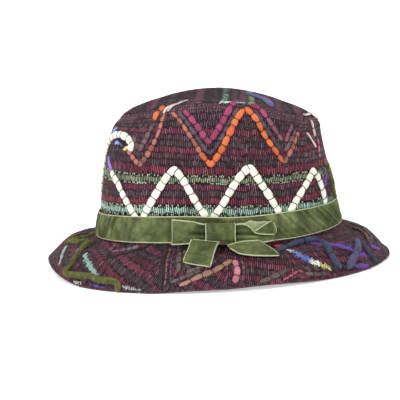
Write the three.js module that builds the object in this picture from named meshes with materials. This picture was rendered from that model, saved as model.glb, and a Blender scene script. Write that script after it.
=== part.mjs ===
// A soft woven hat with a sloping brim and a velvet ribbon tied in a flat bow.
// Millimetres, +Z up. The front of the hat points to -X and the bow is on the -Y side.
// The origin is on the surface that the brim rests on, under the middle of the hat.
import * as THREE from 'three';

// Walls and gaps
const CROWN_WALL = 2.0;
const BRIM_WALL = 2.4;
const RIBBON_THICK = 1.2;
const PIECE_GAP = 0.35;

// Ribbon, the same for the band and the bow
const RIBBON_WIDTH = 21;
const BAND_LOW = 1.5;
const BAND_LIFT = 0.5;

// The hat rests nose up by this angle, and its brim settles flat by this depth where it touches
const RAKE = THREE.MathUtils.degToRad(3);
const SETTLE = 1.9;

// How finely the pieces are divided
const ROUND_STEPS = 80;
const BAND_STEPS = 132;
const NEAR_SIDE = 1.5 * Math.PI;

// Sections from the edge of the brim up to the middle of the crown's top. front, back and side are
// half-lengths from the middle, zFront, zSide and zBack are heights, square is 2 for an ellipse and more
// for a fuller oval, and dipFront and dipBack lower the quarters between the side and each end.
const SECTIONS = [
  { name: 'brim edge', front: 144.4, back: 147.6, side: 126.1, zFront: 7.9, zSide: 6.5, zBack: 11.6,
    square: 2, dipFront: 8.7, dipBack: -1 },
  { name: 'brim middle', front: 127.6, back: 130.2, side: 109.2, zFront: 23.5, zSide: 25.3, zBack: 29.5,
    square: 2, dipFront: 4.3, dipBack: -0.5 },
  { name: 'base', front: 102.4, back: 106.2, side: 87.4, zFront: 26.4, zSide: 35.1, zBack: 38.4,
    square: 2.05, dipFront: 0, dipBack: 0 },
  { name: 'lower wall', front: 98.6, back: 98.4, side: 81.8, zFront: 66.6, zSide: 75.1, zBack: 78.4,
    square: 2.1, dipFront: 0, dipBack: 0 },
  { name: 'upper wall', front: 92.2, back: 90.8, side: 78.1, zFront: 113.1, zSide: 113.1, zBack: 113.1,
    square: 2.15, dipFront: 0, dipBack: 0 },
  { name: 'shoulder', front: 82.9, back: 86.5, side: 73.9, zFront: 125.9, zSide: 142.2, zBack: 123.8,
    square: 2.2, dipFront: 0, dipBack: 0 },
  { name: 'ridge', front: 74, back: 77.3, side: 66.1, zFront: 132.5, zSide: 146.8, zBack: 130.6,
    square: 2.2, dipFront: 0, dipBack: 0 },
  { name: 'top ring', front: 44.4, back: 46.4, side: 39.7, zFront: 141.1, zSide: 146.9, zBack: 140.4,
    square: 2.1, dipFront: 0, dipBack: 0 },
  { name: 'top middle', front: 0, back: 0, side: 0, zFront: 146.9, zSide: 146.9, zBack: 146.9,
    square: 2, dipFront: 0, dipBack: 0 },
];
const BASE = 2;
const SEAM = 5.6;
const TOP = 8;

// Soft dents in the crown: degrees round from the back, place up the sections, reach round, down the wall
// and over the ridge, and depth. Each is made on both sides of the hat.
const DENTS = [
  { name: 'front pinch', turn: 226, up: 4.75, reachTurn: 9, reachDown: 0.5, reachOver: 1.2, depth: 4.2 },
  { name: 'front hollow', turn: 209, up: 4.9, reachTurn: 7, reachDown: 0.4, reachOver: 0.9, depth: 1.3 },
  { name: 'back fold', turn: 322, up: 4.8, reachTurn: 7, reachDown: 0.5, reachOver: 1.1, depth: 4.6 },
];

// Gathers of the ribbon where it is eased round the ends: degrees, reach, number of folds and depth
const GATHERS = [
  { name: 'front gathers', turn: 204, reach: 26, folds: 6, slant: -0.25, depth: 0.8 },
  { name: 'back gathers', turn: 326, reach: 30, folds: 8, slant: 0.45, depth: 0.9 },
];

const mix = (low, high, part) => low + (high - low) * part;
const bell = (distance, reach) => Math.exp(-((distance / reach) ** 2));

// A value between rows, on the Catmull-Rom curve through them
function between(key, place) {
  const last = SECTIONS.length - 1;
  const row = Math.min(Math.floor(place), last - 1);
  const part = place - row;
  const value = (index) => SECTIONS[index][key];
  const here = value(row);
  const next = value(row + 1);
  const before = row > 0 ? value(row - 1) : 2 * here - next;
  const after = row + 2 <= last ? value(row + 2) : 2 * next - here;
  const slope = next - before;
  const bend = 2 * before - 5 * here + 4 * next - after;
  const twist = 3 * here - before - 3 * next + after;
  return 0.5 * (2 * here + slope * part + bend * part ** 2 + twist * part ** 3);
}

// How deep the dents are at a place on the crown
function dentDepth(turn, place) {
  const degrees = THREE.MathUtils.radToDeg(turn);
  let depth = 0;
  for (const dent of DENTS) {
    for (const middle of [dent.turn, 360 - dent.turn]) {
      const away = ((degrees - middle + 540) % 360) - 180;
      const reach = place < dent.up ? dent.reachDown : dent.reachOver;
      depth += dent.depth * bell(away, dent.reachTurn) * bell(place - dent.up, reach);
    }
  }
  return depth;
}

// A point of the hat's outer skin before it is laid down: turn goes round from the back by the far side,
// place goes up the sections
function skinPoint(turn, place) {
  const along = Math.cos(turn);
  const across = Math.sin(turn);
  const end = Math.max(between(along < 0 ? 'front' : 'back', place), 0.001);
  const side = Math.max(between('side', place), 0.001);
  const square = between('square', place);
  const oval = (Math.abs(along) / end) ** square + (Math.abs(across) / side) ** square;
  const radius = oval ** (-1 / square) - dentDepth(turn, place);
  const zSide = between('zSide', place);
  const zEnd = between(along < 0 ? 'zFront' : 'zBack', place);
  const dip = between(along < 0 ? 'dipFront' : 'dipBack', place);
  const height = mix(zSide, zEnd, along ** 2) - dip * (2 * along * across) ** 2;
  return new THREE.Vector3(radius * along, radius * across, height).applyAxisAngle(
    new THREE.Vector3(0, 1, 0), RAKE);
}

// The outward direction of the skin
function skinNormal(turn, place) {
  const step = 0.01;
  const low = Math.max(place - step, 0);
  const high = Math.min(place + step, TOP);
  const up = skinPoint(turn, high).sub(skinPoint(turn, low));
  const round = skinPoint(turn + step, place).sub(skinPoint(turn - step, place));
  return round.cross(up).normalize();
}

// A point at a distance outside the skin, or inside it when the distance is negative
function offSkin(turn, place, distance) {
  return skinPoint(turn, place).addScaledVector(skinNormal(turn, place), distance);
}

// A closed solid between an outer and an inner sheet of points. The sheets are lists of columns. They
// close round on themselves, or end in side walls. pole joins each sheet's last row in one point.
function solidBetween(outer, inner, { closed, pole = false }) {
  const columns = outer.length;
  const rows = outer[0].length;
  const points = [];
  const triangles = [];
  const index = new Map();
  const number = (sheet, column, row) => {
    const atPole = pole && row === rows - 1;
    const key = atPole ? `${sheet} pole` : `${sheet} ${column % columns} ${row}`;
    if (!index.has(key)) {
      const source = sheet === 'outer' ? outer : inner;
      const point = source[atPole ? 0 : column % columns][row];
      index.set(key, points.length / 3);
      points.push(point.x, point.y, point.z);
    }
    return index.get(key);
  };
  const quad = (a, b, c, d) => {
    for (const triangle of [[a, b, c], [a, c, d]]) {
      if (new Set(triangle).size === 3) triangles.push(...triangle);
    }
  };
  const wall = (from, to) => quad(number('outer', ...from), number('inner', ...from),
    number('inner', ...to), number('outer', ...to));
  const spans = closed ? columns : columns - 1;
  for (let column = 0; column < spans; column += 1) {
    for (let row = 0; row < rows - 1; row += 1) {
      quad(number('outer', column, row), number('outer', column + 1, row),
        number('outer', column + 1, row + 1), number('outer', column, row + 1));
      quad(number('inner', column, row), number('inner', column, row + 1),
        number('inner', column + 1, row + 1), number('inner', column + 1, row));
    }
    wall([column, 0], [column + 1, 0]);
    if (!pole) wall([column + 1, rows - 1], [column, rows - 1]);
  }
  if (!closed) {
    for (let row = 0; row < rows - 1; row += 1) {
      wall([0, row + 1], [0, row]);
      wall([columns - 1, row], [columns - 1, row + 1]);
    }
  }
  const geometry = new THREE.BufferGeometry();
  geometry.setAttribute('position', new THREE.Float32BufferAttribute(points, 3));
  geometry.setIndex(triangles);
  geometry.computeVertexNormals();
  return geometry;
}

// A grid of points, one column for each turn and one row for each place
function grid(turns, places, pointAt) {
  return turns.map((turn) => places.map((place) => pointAt(turn, place)));
}

const roundTurns = (steps) => Array.from({ length: steps }, (_, step) => (2 * Math.PI * step) / steps);
const TURNS = roundTurns(ROUND_STEPS);

// The hat is laid down with its lowest edge pressed flat by SETTLE, and centred on the origin
const edge = TURNS.map((turn) => offSkin(turn, 0, -BRIM_WALL));
const rim = TURNS.map((turn) => skinPoint(turn, 0));
const FLOOR = Math.min(...edge.map((point) => point.z)) + SETTLE;
const MIDDLE = (Math.min(...rim.map((point) => point.x)) + Math.max(...rim.map((point) => point.x))) / 2;

// Moves a point to its place over the floor, not lower than the given height
function lay(point, lowest = 0) {
  return new THREE.Vector3(point.x - MIDDLE, point.y, Math.max(point.z - FLOOR, lowest));
}

// A wall of cloth from one place up the sections to another, split off its neighbours by a small gap
function clothShell(places, thick, options) {
  const outer = grid(TURNS, places, (turn, place) => lay(skinPoint(turn, place), thick));
  const inner = grid(TURNS, places, (turn, place) => {
    const join = [BASE, SEAM].find((at) => Math.abs(at - place) < JOIN_REACH);
    const inward = skinNormal(turn, join ?? place).multiplyScalar(-thick);
    return lay(skinPoint(turn, place).add(inward));
  });
  return solidBetween(outer, inner, options);
}

// Pieces stop this far short of a join, as a part of a section. Both faces at a join lean the same way.
const BRIM_GAP = PIECE_GAP / 24;
const WALL_GAP = PIECE_GAP / 7;
const JOIN_REACH = 0.06;

function brim() {
  const places = [0, 0.04, 0.09, 0.18, 0.4, 0.7, 1.0, 1.35, 1.7, BASE - BRIM_GAP];
  return clothShell(places, BRIM_WALL, { closed: true });
}

function crownSide() {
  const places = [BASE, 2.15, 2.4, 2.8, 3.3, 3.8, 4.2, 4.55, 4.8, 5.05, 5.3, SEAM - WALL_GAP];
  return clothShell(places, CROWN_WALL, { closed: true });
}

function crownTip() {
  return clothShell([SEAM, 5.8, 6.0, 6.3, 6.8, 7.4, TOP], CROWN_WALL, { closed: true, pole: true });
}

// Millimetres up the crown's wall, or down the brim when negative, as a place up the sections
function placeAt(height) {
  const wallLength = skinPoint(NEAR_SIDE, BASE + 1).distanceTo(skinPoint(NEAR_SIDE, BASE));
  const brimLength = skinPoint(NEAR_SIDE, BASE - 1).distanceTo(skinPoint(NEAR_SIDE, BASE));
  return BASE + height / (height > 0 ? wallLength : brimLength);
}

// Millimetres round the base from the middle of the bow, towards the back of the hat, as a turn
const BOW_MIDDLE = THREE.MathUtils.degToRad(273);
function turnAt(length) {
  const radius = skinPoint(BOW_MIDDLE, BASE).setZ(0).length();
  return BOW_MIDDLE + length / radius;
}

function ribbonBand() {
  const places = [0, 0.35, 0.7, 1].map((part) => placeAt(BAND_LOW + RIBBON_WIDTH * part));
  const fold = (turn, part) => {
    const degrees = THREE.MathUtils.radToDeg(turn);
    let lift = 0;
    for (const gather of GATHERS) {
      const away = degrees - gather.turn + gather.slant * RIBBON_WIDTH * (part - 0.5);
      const wave = 0.5 + 0.5 * Math.cos((2 * Math.PI * gather.folds * away) / (2 * gather.reach));
      if (Math.abs(away) < gather.reach) lift += gather.depth * wave * Math.cos((away * Math.PI) / (2 * gather.reach));
    }
    return lift;
  };
  const span = places[places.length - 1] - places[0];
  const at = (extra) => (turn, place) =>
    lay(offSkin(turn, place, BAND_LIFT + fold(turn, (place - places[0]) / span) + extra));
  const turns = roundTurns(BAND_STEPS);
  return solidBetween(grid(turns, places, at(RIBBON_THICK)), grid(turns, places, at(0)), { closed: true });
}

// A ribbon strip along a path of cross lines. Each row gives the two edges of the ribbon there, as
// [round, up, out] in mm: round from the bow's middle, up from the base and out from the skin. The side
// that faces out is the one from which the path runs right when high is above low.
function ribbonStrip(rows) {
  const acrossParts = [0, 0.5, 1];
  const middle = rows.map(({ low, high }) => acrossParts.map((part) => {
    const [round, up, out] = low.map((value, axis) => mix(value, high[axis], part));
    return lay(offSkin(turnAt(round), placeAt(up), out));
  }));
  const normal = (column, row) => {
    const next = middle[Math.min(column + 1, middle.length - 1)][row];
    const last = middle[Math.max(column - 1, 0)][row];
    const above = middle[column][Math.min(row + 1, acrossParts.length - 1)];
    const below = middle[column][Math.max(row - 1, 0)];
    return next.clone().sub(last).cross(above.clone().sub(below)).normalize();
  };
  const sheet = (distance) => middle.map((points, column) => points.map((point, row) =>
    point.clone().addScaledVector(normal(column, row), distance)));
  return solidBetween(sheet(RIBBON_THICK / 2), sheet(-RIBBON_THICK / 2), { closed: false });
}

// The bow lies over the band in layers: a loop's back, its front, then the tails, then the knot
const LAYER = RIBBON_THICK + PIECE_GAP;
const LOOP_OPEN = 3.4;
const LOOP_BACK = BAND_LIFT + LAYER + RIBBON_THICK / 2;
const LOOP_FRONT = LOOP_BACK + LOOP_OPEN;
const TAIL_TOP = LOOP_FRONT + LAYER;
const KNOT_OUT = TAIL_TOP + LAYER;
const KNOT_HALF = 11.3;

// A loop leaves the knot in front, turns over at its far end and comes back behind. way is -1 to the
// front of the hat and 1 to its back. reach is its length from the middle of the knot, and low, high, and
// the pinched heights at the knot are its edges.
function bowLoop({ way, reach, low, high, pinchLow, pinchHigh }) {
  const start = KNOT_HALF + PIECE_GAP;
  const bend = LOOP_OPEN / 2;
  const rows = [];
  const add = (length, out) => {
    const opened = THREE.MathUtils.smoothstep(length, start - 2, start + 15);
    const edges = [mix(pinchLow, low, opened), mix(pinchHigh, high, opened)];
    const [bottom, top] = edges.map((up) => [way * length, up, out]);
    rows.push(way > 0 ? { low: bottom, high: top } : { low: top, high: bottom });
  };
  const lengths = [0, 0.25, 0.5, 0.75, 1].map((part) => mix(start, reach - bend, part));
  for (const length of lengths) add(length, LOOP_FRONT);
  for (const angle of [30, 60, 90, 120, 150]) {
    const radians = THREE.MathUtils.degToRad(angle);
    add(reach - bend + bend * Math.sin(radians), LOOP_BACK + bend + bend * Math.cos(radians));
  }
  for (const length of lengths.toReversed()) add(length, LOOP_BACK);
  return ribbonStrip(rows);
}

const LEFT_LOOP = { way: -1, reach: 40.5, low: -2.4, high: 22.4, pinchLow: -0.5, pinchHigh: 18.5 };
const RIGHT_LOOP = { way: 1, reach: 43.8, low: -3.4, high: 18, pinchLow: -0.5, pinchHigh: 17.5 };

// The knot is a short band of ribbon over the middle of the bow, turned in behind at its top and open
// below, where the tails come out
function bowKnot() {
  const high = 17.8;
  const low = -4.2;
  const turnIn = 1.4;
  const outline = [
    [high, LOOP_BACK], [high + turnIn, LOOP_BACK + 1.4], [high + turnIn, KNOT_OUT - 1.4], [high, KNOT_OUT],
    [mix(low, high, 0.66), KNOT_OUT + 0.7], [mix(low, high, 0.33), KNOT_OUT + 0.7], [low, KNOT_OUT],
  ];
  return ribbonStrip(outline.map(([up, out]) => ({ low: [-KNOT_HALF, up, out], high: [KNOT_HALF, up, out] })));
}

// The tails leave from under the knot in front of the loops and lie down on the brim
const LEFT_TAIL = [
  { low: [-23, 3, TAIL_TOP + 0.4], high: [-1, -2, TAIL_TOP] },
  { low: [-23, -1, TAIL_TOP + 0.6], high: [-2, -6, TAIL_TOP] },
  { low: [-23, -6, 7.2], high: [-3.2, -10.5, 6.2] },
  { low: [-23.4, -12, 4.6], high: [-4.4, -16.5, 4.2] },
  { low: [-23.8, -19, 3], high: [-5.6, -23.5, 3] },
  { low: [-24.3, -26, 2.4], high: [-6.8, -31, 2.4] },
];
const RIGHT_TAIL = [
  { low: [9, -19, 3.4], high: [4.6, -5.6, TAIL_TOP] },
  { low: [14.5, -20.5, 3], high: [10.5, -4.4, TAIL_TOP] },
  { low: [21, -21.8, 2.8], high: [17, -3.4, TAIL_TOP] },
  { low: [28.5, -23.4, 2.6], high: [23.5, -2.8, TAIL_TOP] },
  { low: [36.6, -25.4, 2.4], high: [30, -2, TAIL_TOP] },
];

// Materials
const cloth = new THREE.MeshStandardMaterial({ color: 0x5a3038, roughness: 0.95, metalness: 0 });
const velvet = new THREE.MeshStandardMaterial({ color: 0x626b3e, roughness: 0.9, metalness: 0 });

// The hat
const hat = new THREE.Group();
const add = (name, geometry, material) => {
  const mesh = new THREE.Mesh(geometry, material);
  mesh.name = name;
  hat.add(mesh);
};
add('brim', brim(), cloth);
add('crown_side', crownSide(), cloth);
add('crown_tip', crownTip(), cloth);
add('ribbon_band', ribbonBand(), velvet);
add('bow_loop_left', bowLoop(LEFT_LOOP), velvet);
add('bow_loop_right', bowLoop(RIGHT_LOOP), velvet);
add('bow_knot', bowKnot(), velvet);
add('bow_tail_left', ribbonStrip(LEFT_TAIL), velvet);
add('bow_tail_right', ribbonStrip(RIGHT_TAIL), velvet);

export default hat;
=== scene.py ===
# A soft woven hat with couched yarns, and a velvet ribbon tied in a flat bow on the wearer's left.
# Tables are in millimetres and degrees. Blender's objects are in metres.
import math
import bmesh
import bpy
import numpy as np
from mathutils import Matrix, Vector


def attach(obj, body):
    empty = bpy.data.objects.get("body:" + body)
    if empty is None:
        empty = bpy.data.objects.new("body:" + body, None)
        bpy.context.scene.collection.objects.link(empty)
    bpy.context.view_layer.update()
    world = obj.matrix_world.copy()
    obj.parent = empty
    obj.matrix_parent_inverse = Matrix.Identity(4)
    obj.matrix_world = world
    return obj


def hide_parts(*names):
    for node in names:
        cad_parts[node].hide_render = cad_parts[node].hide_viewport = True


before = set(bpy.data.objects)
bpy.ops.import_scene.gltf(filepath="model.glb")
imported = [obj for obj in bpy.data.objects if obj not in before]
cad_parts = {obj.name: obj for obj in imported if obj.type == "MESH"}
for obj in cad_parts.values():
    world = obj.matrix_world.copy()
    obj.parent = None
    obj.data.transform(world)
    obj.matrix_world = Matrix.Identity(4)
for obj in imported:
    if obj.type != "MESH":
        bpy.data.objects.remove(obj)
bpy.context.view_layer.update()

MM = 0.001
FULL_TURN = 2 * math.pi
RAKE = math.radians(3)
SETTLE = 1.9
CROWN_WALL = 2.0
BRIM_WALL = 2.4

# Sections of the hat from the edge of the brim up to the middle of the top: front, back and side
# half-lengths, heights at front, side and back, squareness, and dips of the front and back quarters
SECTIONS = np.array([
    [144.4, 147.6, 126.1, 7.9, 6.5, 11.6, 2.0, 8.7, -1.0],
    [127.6, 130.2, 109.2, 23.5, 25.3, 29.5, 2.0, 4.3, -0.5],
    [102.4, 106.2, 87.4, 26.4, 35.1, 38.4, 2.05, 0.0, 0.0],
    [98.6, 98.4, 81.8, 66.6, 75.1, 78.4, 2.1, 0.0, 0.0],
    [92.2, 90.8, 78.1, 113.1, 113.1, 113.1, 2.15, 0.0, 0.0],
    [82.9, 86.5, 73.9, 125.9, 142.2, 123.8, 2.2, 0.0, 0.0],
    [74.0, 77.3, 66.1, 132.5, 146.8, 130.6, 2.2, 0.0, 0.0],
    [44.4, 46.4, 39.7, 141.1, 146.9, 140.4, 2.1, 0.0, 0.0],
    [0.0, 0.0, 0.0, 146.9, 146.9, 146.9, 2.0, 0.0, 0.0],
])
FRONT, BACK, SIDE, Z_FRONT, Z_SIDE, Z_BACK, SQUARE, DIP_FRONT, DIP_BACK = range(9)
BASE = 2.0
SEAM = 5.6
TOP = 8.0
LEAST_RADIUS = 0.001

# Soft dents in the crown: turn, place up the sections, reach round, down and over, and depth
DENTS = [
    (226, 4.75, 9, 0.5, 1.2, 4.2), (209, 4.9, 7, 0.4, 0.9, 1.3), (322, 4.8, 7, 0.5, 1.1, 4.6),
    (134, 4.75, 9, 0.5, 1.2, 4.2), (151, 4.9, 7, 0.4, 0.9, 1.3), (38, 4.8, 7, 0.5, 1.1, 4.6),
]

# Soft unevenness of the cloth: waves round, their phase, place, reach and depth
RIPPLES = [
    (5, 0.6, 4.4, 0.9, 0.5), (9, 2.1, 4.9, 0.6, 0.35), (7, 4.0, 3.4, 0.7, 0.3),
    (11, 1.2, 0.9, 0.7, 0.6), (17, 3.3, 0.5, 0.5, 0.35), (6, 5.0, 1.3, 0.5, 0.5),
]

# The cloth at the crown's front and back end sits in a little: depths, place and reach
END_SLACK = (2.6, 2.2)
SLACK_PLACE = 3.8
SLACK_REACH = 0.95

# The brim's edge beside the bow is lifted a little: its turn, reach round, reach up and height
EDGE_LIFT = (290, 17, 0.85, 2.8)


def bell(distance, reach):
    return np.exp(-((distance / reach) ** 2))


def smooth(value, low, high):
    part = np.clip((value - low) / (high - low), 0, 1)
    return part * part * (3 - 2 * part)


def half_turn(degrees):
    """The same angle from -180 up to 180 degrees."""
    return (degrees + 540) % 360 - 180


def between(place):
    """The row of section values at a place, on the Catmull-Rom curve through the sections."""
    last = len(SECTIONS) - 1
    row = np.clip(np.floor(place).astype(int), 0, last - 1)
    part = (place - row)[..., None]
    here = SECTIONS[row]
    after = SECTIONS[row + 1]
    before = np.where(row[..., None] > 0, SECTIONS[np.maximum(row - 1, 0)], 2 * here - after)
    later = np.where(row[..., None] + 2 <= last, SECTIONS[np.minimum(row + 2, last)], 2 * after - here)
    slope = after - before
    bend = 2 * before - 5 * here + 4 * after - later
    twist = 3 * here - before - 3 * after + later
    return 0.5 * (2 * here + slope * part + bend * part**2 + twist * part**3)


def dent_depth(turn, place):
    depth = np.zeros_like(turn)
    for middle, up, reach, down, over, deep in DENTS:
        away = half_turn(np.degrees(turn) - middle)
        depth = depth + deep * bell(away, reach) * bell(place - up, np.where(place < up, down, over))
    for waves, phase, up, reach, deep in RIPPLES:
        depth = depth - deep * np.sin(waves * turn + phase) * bell(place - up, reach)
    return depth


def skin_radius(turn, place):
    """Distance from the hat's upright middle line to its skin."""
    values = between(place)
    along = np.cos(turn)
    across = np.sin(turn)
    end = np.maximum(np.where(along < 0, values[..., FRONT], values[..., BACK]), LEAST_RADIUS)
    side = np.maximum(values[..., SIDE], LEAST_RADIUS)
    square = values[..., SQUARE]
    slack = np.where(along < 0, END_SLACK[0], END_SLACK[1]) * along**4
    end = np.maximum(end - slack * bell(place - SLACK_PLACE, SLACK_REACH), LEAST_RADIUS)
    oval = (np.abs(along) / end) ** square + (np.abs(across) / side) ** square
    return np.maximum(oval ** (-1 / square) - dent_depth(turn, place), 0)


def raw_skin(turn, place):
    """Points of the hat's outer skin before it is laid down."""
    turn, place = np.broadcast_arrays(np.asarray(turn, float), np.asarray(place, float))
    values = between(place)
    along = np.cos(turn)
    across = np.sin(turn)
    radius = skin_radius(turn, place)
    end = np.where(along < 0, values[..., Z_FRONT], values[..., Z_BACK])
    dip = np.where(along < 0, values[..., DIP_FRONT], values[..., DIP_BACK])
    height = values[..., Z_SIDE] + (end - values[..., Z_SIDE]) * along**2 - dip * (2 * along * across) ** 2
    middle, reach, reach_up, rise = EDGE_LIFT
    height = height + rise * bell(half_turn(np.degrees(turn) - middle), reach) * bell(place, reach_up)
    ahead = radius * along
    return np.stack([
        ahead * math.cos(RAKE) + height * math.sin(RAKE),
        radius * across,
        height * math.cos(RAKE) - ahead * math.sin(RAKE),
    ], -1)


def unit(vectors):
    return vectors / np.maximum(np.linalg.norm(vectors, axis=-1, keepdims=True), 1e-9)


def skin_normal(turn, place):
    step = 0.01
    up = raw_skin(turn, np.minimum(place + step, TOP)) - raw_skin(turn, np.maximum(place - step, 0))
    around = raw_skin(turn + step, place) - raw_skin(turn - step, place)
    return unit(np.cross(around, up))


EDGE_TURNS = np.linspace(0, FULL_TURN, 80, endpoint=False)
EDGE = raw_skin(EDGE_TURNS, 0.0)
UNDER_EDGE = EDGE - BRIM_WALL * skin_normal(EDGE_TURNS, 0.0)
LAID = np.array([(EDGE[:, 0].min() + EDGE[:, 0].max()) / 2, 0, UNDER_EDGE[:, 2].min() + SETTLE])


def skin(turn, place, out=0.0):
    """Points of the hat where it rests, out from its skin by a distance."""
    return raw_skin(turn, place) - LAID + skin_normal(turn, place) * np.asarray(out, float)[..., None]


def no_lower(points, lowest):
    return np.concatenate([points[..., :2], np.maximum(points[..., 2:], lowest)], -1)


# Places on the hat are also given as millimetres round from the middle of the bow, towards the back,
# and up from the foot of the crown
BOW_MIDDLE = math.radians(273)
BOW_RADIUS = 87.567
WALL_LENGTH = 40.390
BRIM_LENGTH = 23.901


def turn_at(around):
    return BOW_MIDDLE + np.asarray(around, float) / BOW_RADIUS


def place_at(up):
    up = np.asarray(up, float)
    return BASE + np.where(up > 0, up / WALL_LENGTH, up / BRIM_LENGTH)


def colour(red, green, blue):
    """A colour as it looks in daylight, from its screen values."""
    parts = [value / 255 for value in (red, green, blue)]
    linear = [part / 12.92 if part < 0.04045 else ((part + 0.055) / 1.055) ** 2.4 for part in parts]
    return (*linear, 1.0)


# Colours of the cloth
MAROON = colour(120, 59, 77)
CRIMSON = colour(126, 54, 72)
PLUM = colour(96, 66, 78)
CHARCOAL = colour(78, 68, 72)
DARK = colour(32, 22, 27)
OLIVE_PALE = colour(146, 160, 126)
TURQUOISE = colour(164, 200, 184)
TAUPE = colour(112, 98, 94)
# Paler maroon and charcoal for the top rows of the wall: painted sheen where the fuzzy wool catches the light
# at the crown's upper rim
MAROON_PAINTED_SHEEN = colour(136, 88, 103)
CHARCOAL_PAINTED_SHEEN = colour(104, 88, 94)
WEFT_FLECK = colour(150, 122, 130)
WOOL_HAIR = colour(160, 138, 144)
TIP_DARK = colour(66, 53, 58)
TIP_PLUM = colour(82, 55, 65)
TIP_MAROON = colour(98, 52, 67)
BEAD_PALE = colour(164, 176, 152)

# Colours of the ribbon
VELVET = colour(80, 86, 54)
VELVET_LIGHT = colour(112, 122, 80)
VELVET_DARK = colour(52, 60, 34)
VELVET_SHEEN = colour(180, 196, 128)
# Pale selvedge thread, also the colour of the painted highlights on folds
SELVEDGE_AND_HIGHLIGHT = colour(182, 189, 150)
BACKING = colour(148, 158, 120)

# Colours of the yarns
IVORY = colour(231, 233, 216)
ORANGE = colour(208, 105, 60)
COPPER = colour(166, 102, 86)
BROWN_COPPER = colour(158, 100, 86)
BROWN_GREY = colour(102, 80, 82)
SLATE = colour(64, 70, 96)
SLATE_DARK = colour(78, 69, 82)
LAVENDER = colour(86, 83, 116)
MAGENTA = colour(150, 64, 98)
MAUVE = colour(122, 78, 88)
DUSTY_MAUVE = colour(112, 90, 94)
PINK = colour(180, 114, 124)
HOT_PINK = colour(178, 76, 104)
CREAM_PINK = colour(216, 192, 192)
SALMON = colour(142, 96, 88)
TAN = colour(160, 122, 106)
GREY_BROWN = colour(92, 80, 76)
BLUE_GREY = colour(76, 74, 88)
PERIWINKLE = colour(92, 98, 136)
MOSS = colour(142, 146, 88)
VIOLET = colour(118, 84, 176)
LILAC = colour(134, 112, 188)
SKY = colour(116, 144, 206)
BLUE = colour(88, 110, 192)
YELLOW = colour(204, 198, 128)
RED = colour(206, 48, 46)
BLACK = colour(44, 37, 41)
TIE_DARK = colour(44, 34, 38)
STITCH_TURQUOISE = colour(170, 206, 192)
STITCH_WHITE = colour(226, 234, 214)
STITCH_PALE = colour(206, 220, 214)

# Colours of the studio
PAPER_LOW = colour(246, 246, 246)
PAPER_HIGH = colour(250, 250, 250)
WHITE = (1, 1, 1, 1)


class Value:
    """One output of a material's nodes. A sum or product with it adds the node that works it out."""

    def __init__(self, tree, socket):
        self.tree = tree
        self.socket = socket

    def maths(self, operation, *others):
        return self.tree.value("ShaderNodeMath", dict(enumerate((self, *others))), operation=operation)

    def __add__(self, other):
        return self.maths("ADD", other)

    def __sub__(self, other):
        return self.maths("SUBTRACT", other)

    def __rsub__(self, other):
        return self.tree.value("ShaderNodeMath", {0: other, 1: self}, operation="SUBTRACT")

    def __mul__(self, other):
        return self.maths("MULTIPLY", other)

    def ranged(self, low, high, start=0.0, end=1.0):
        """The value carried smoothly from the range of the first two into that of the last two."""
        inputs = dict(enumerate((self, low, high, start, end)))
        return self.tree.value("ShaderNodeMapRange", inputs, interpolation_type="SMOOTHSTEP")


class Tree:
    """The nodes of one material."""

    def __init__(self, name):
        self.material = bpy.data.materials.new(name)
        self.material.use_nodes = True
        self.material.node_tree.nodes.clear()

    def node(self, kind, inputs=None, **settings):
        """A node with its settings and its inputs, each a number, a colour or a value."""
        made = self.material.node_tree.nodes.new(kind)
        for key, value in settings.items():
            setattr(made, key, value)
        for key, value in (inputs or {}).items():
            if isinstance(value, Value):
                self.material.node_tree.links.new(value.socket, made.inputs[key])
            else:
                made.inputs[key].default_value = value
        return made

    def value(self, kind, inputs=None, output=0, **settings):
        return Value(self, self.node(kind, inputs, **settings).outputs[output])

    def solid(self):
        return self.value("ShaderNodeTexCoord", output="Object")

    def noise(self, vector, scale, detail=2.0, rough=0.5):
        inputs = {"Vector": vector, "Scale": scale, "Detail": detail, "Roughness": rough}
        return self.value("ShaderNodeTexNoise", inputs)

    def luck(self, number):
        """A number drawn at random for each whole number."""
        return self.value("ShaderNodeTexWhiteNoise", {"W": number}, noise_dimensions="1D")

    def vector(self, *parts):
        return self.value("ShaderNodeCombineXYZ", dict(enumerate(parts)))

    def parts(self, vector):
        made = self.node("ShaderNodeSeparateXYZ", {"Vector": vector})
        return [Value(self, output) for output in made.outputs]

    def map_parts(self, name):
        return self.parts(self.value("ShaderNodeUVMap", uv_map=name))

    def mixed(self, part, first, second, blend="MIX"):
        inputs = {0: part, 6: first, 7: second}
        return self.value("ShaderNodeMix", inputs, 2, data_type="RGBA", blend_type=blend)

    def lit(self, tone, light):
        """A colour times a brightness."""
        return self.mixed(1.0, tone, self.vector(light, light, light), "MULTIPLY")

    def finish(self, base, bump, rough, sheen, sheen_rough, tint, specular=0.25):
        """The shader and the output. The bump is its height, strength and distance."""
        normal = self.value("ShaderNodeBump", dict(zip(("Height", "Strength", "Distance"), bump)))
        shader = self.node("ShaderNodeBsdfPrincipled", {
            "Base Color": base, "Normal": normal, "Roughness": rough, "Sheen Weight": sheen,
            "Sheen Roughness": sheen_rough, "Sheen Tint": tint, "Specular IOR Level": specular,
        })
        self.node("ShaderNodeOutputMaterial", {0: Value(self, shader.outputs[0])})
        return shader


# Ribbed weave: how ragged, slanted, wandering and shifted its bars are, and how their ends taper
RAGGED = 0.42
SLANT = 0.9
WANDER = 0.75
ROW_SHIFT = 5.0
BAR_TAPER = (0.0, 0.2, 0.55, 0.0)
BAR_EDGE = (0.74, 0.3)

# Ribbed weave: ranges of the brightness of bars, fibres and patches, and of the pale and dark flecks
BAR_LIGHT = (0.0, 1.0, 0.76, 1.3)
FIBRE_LIGHT = (0.25, 0.75, 0.7, 1.26)
PATCH_LIGHT = (0.3, 0.7, 0.78, 1.15)
PALE_FLECK = (0.78, 0.98, 0.0, 0.4)
DARK_FLECK = (0.2, 0.04, 0.0, 0.45)
BEAD_CHANCE = 0.45


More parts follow.
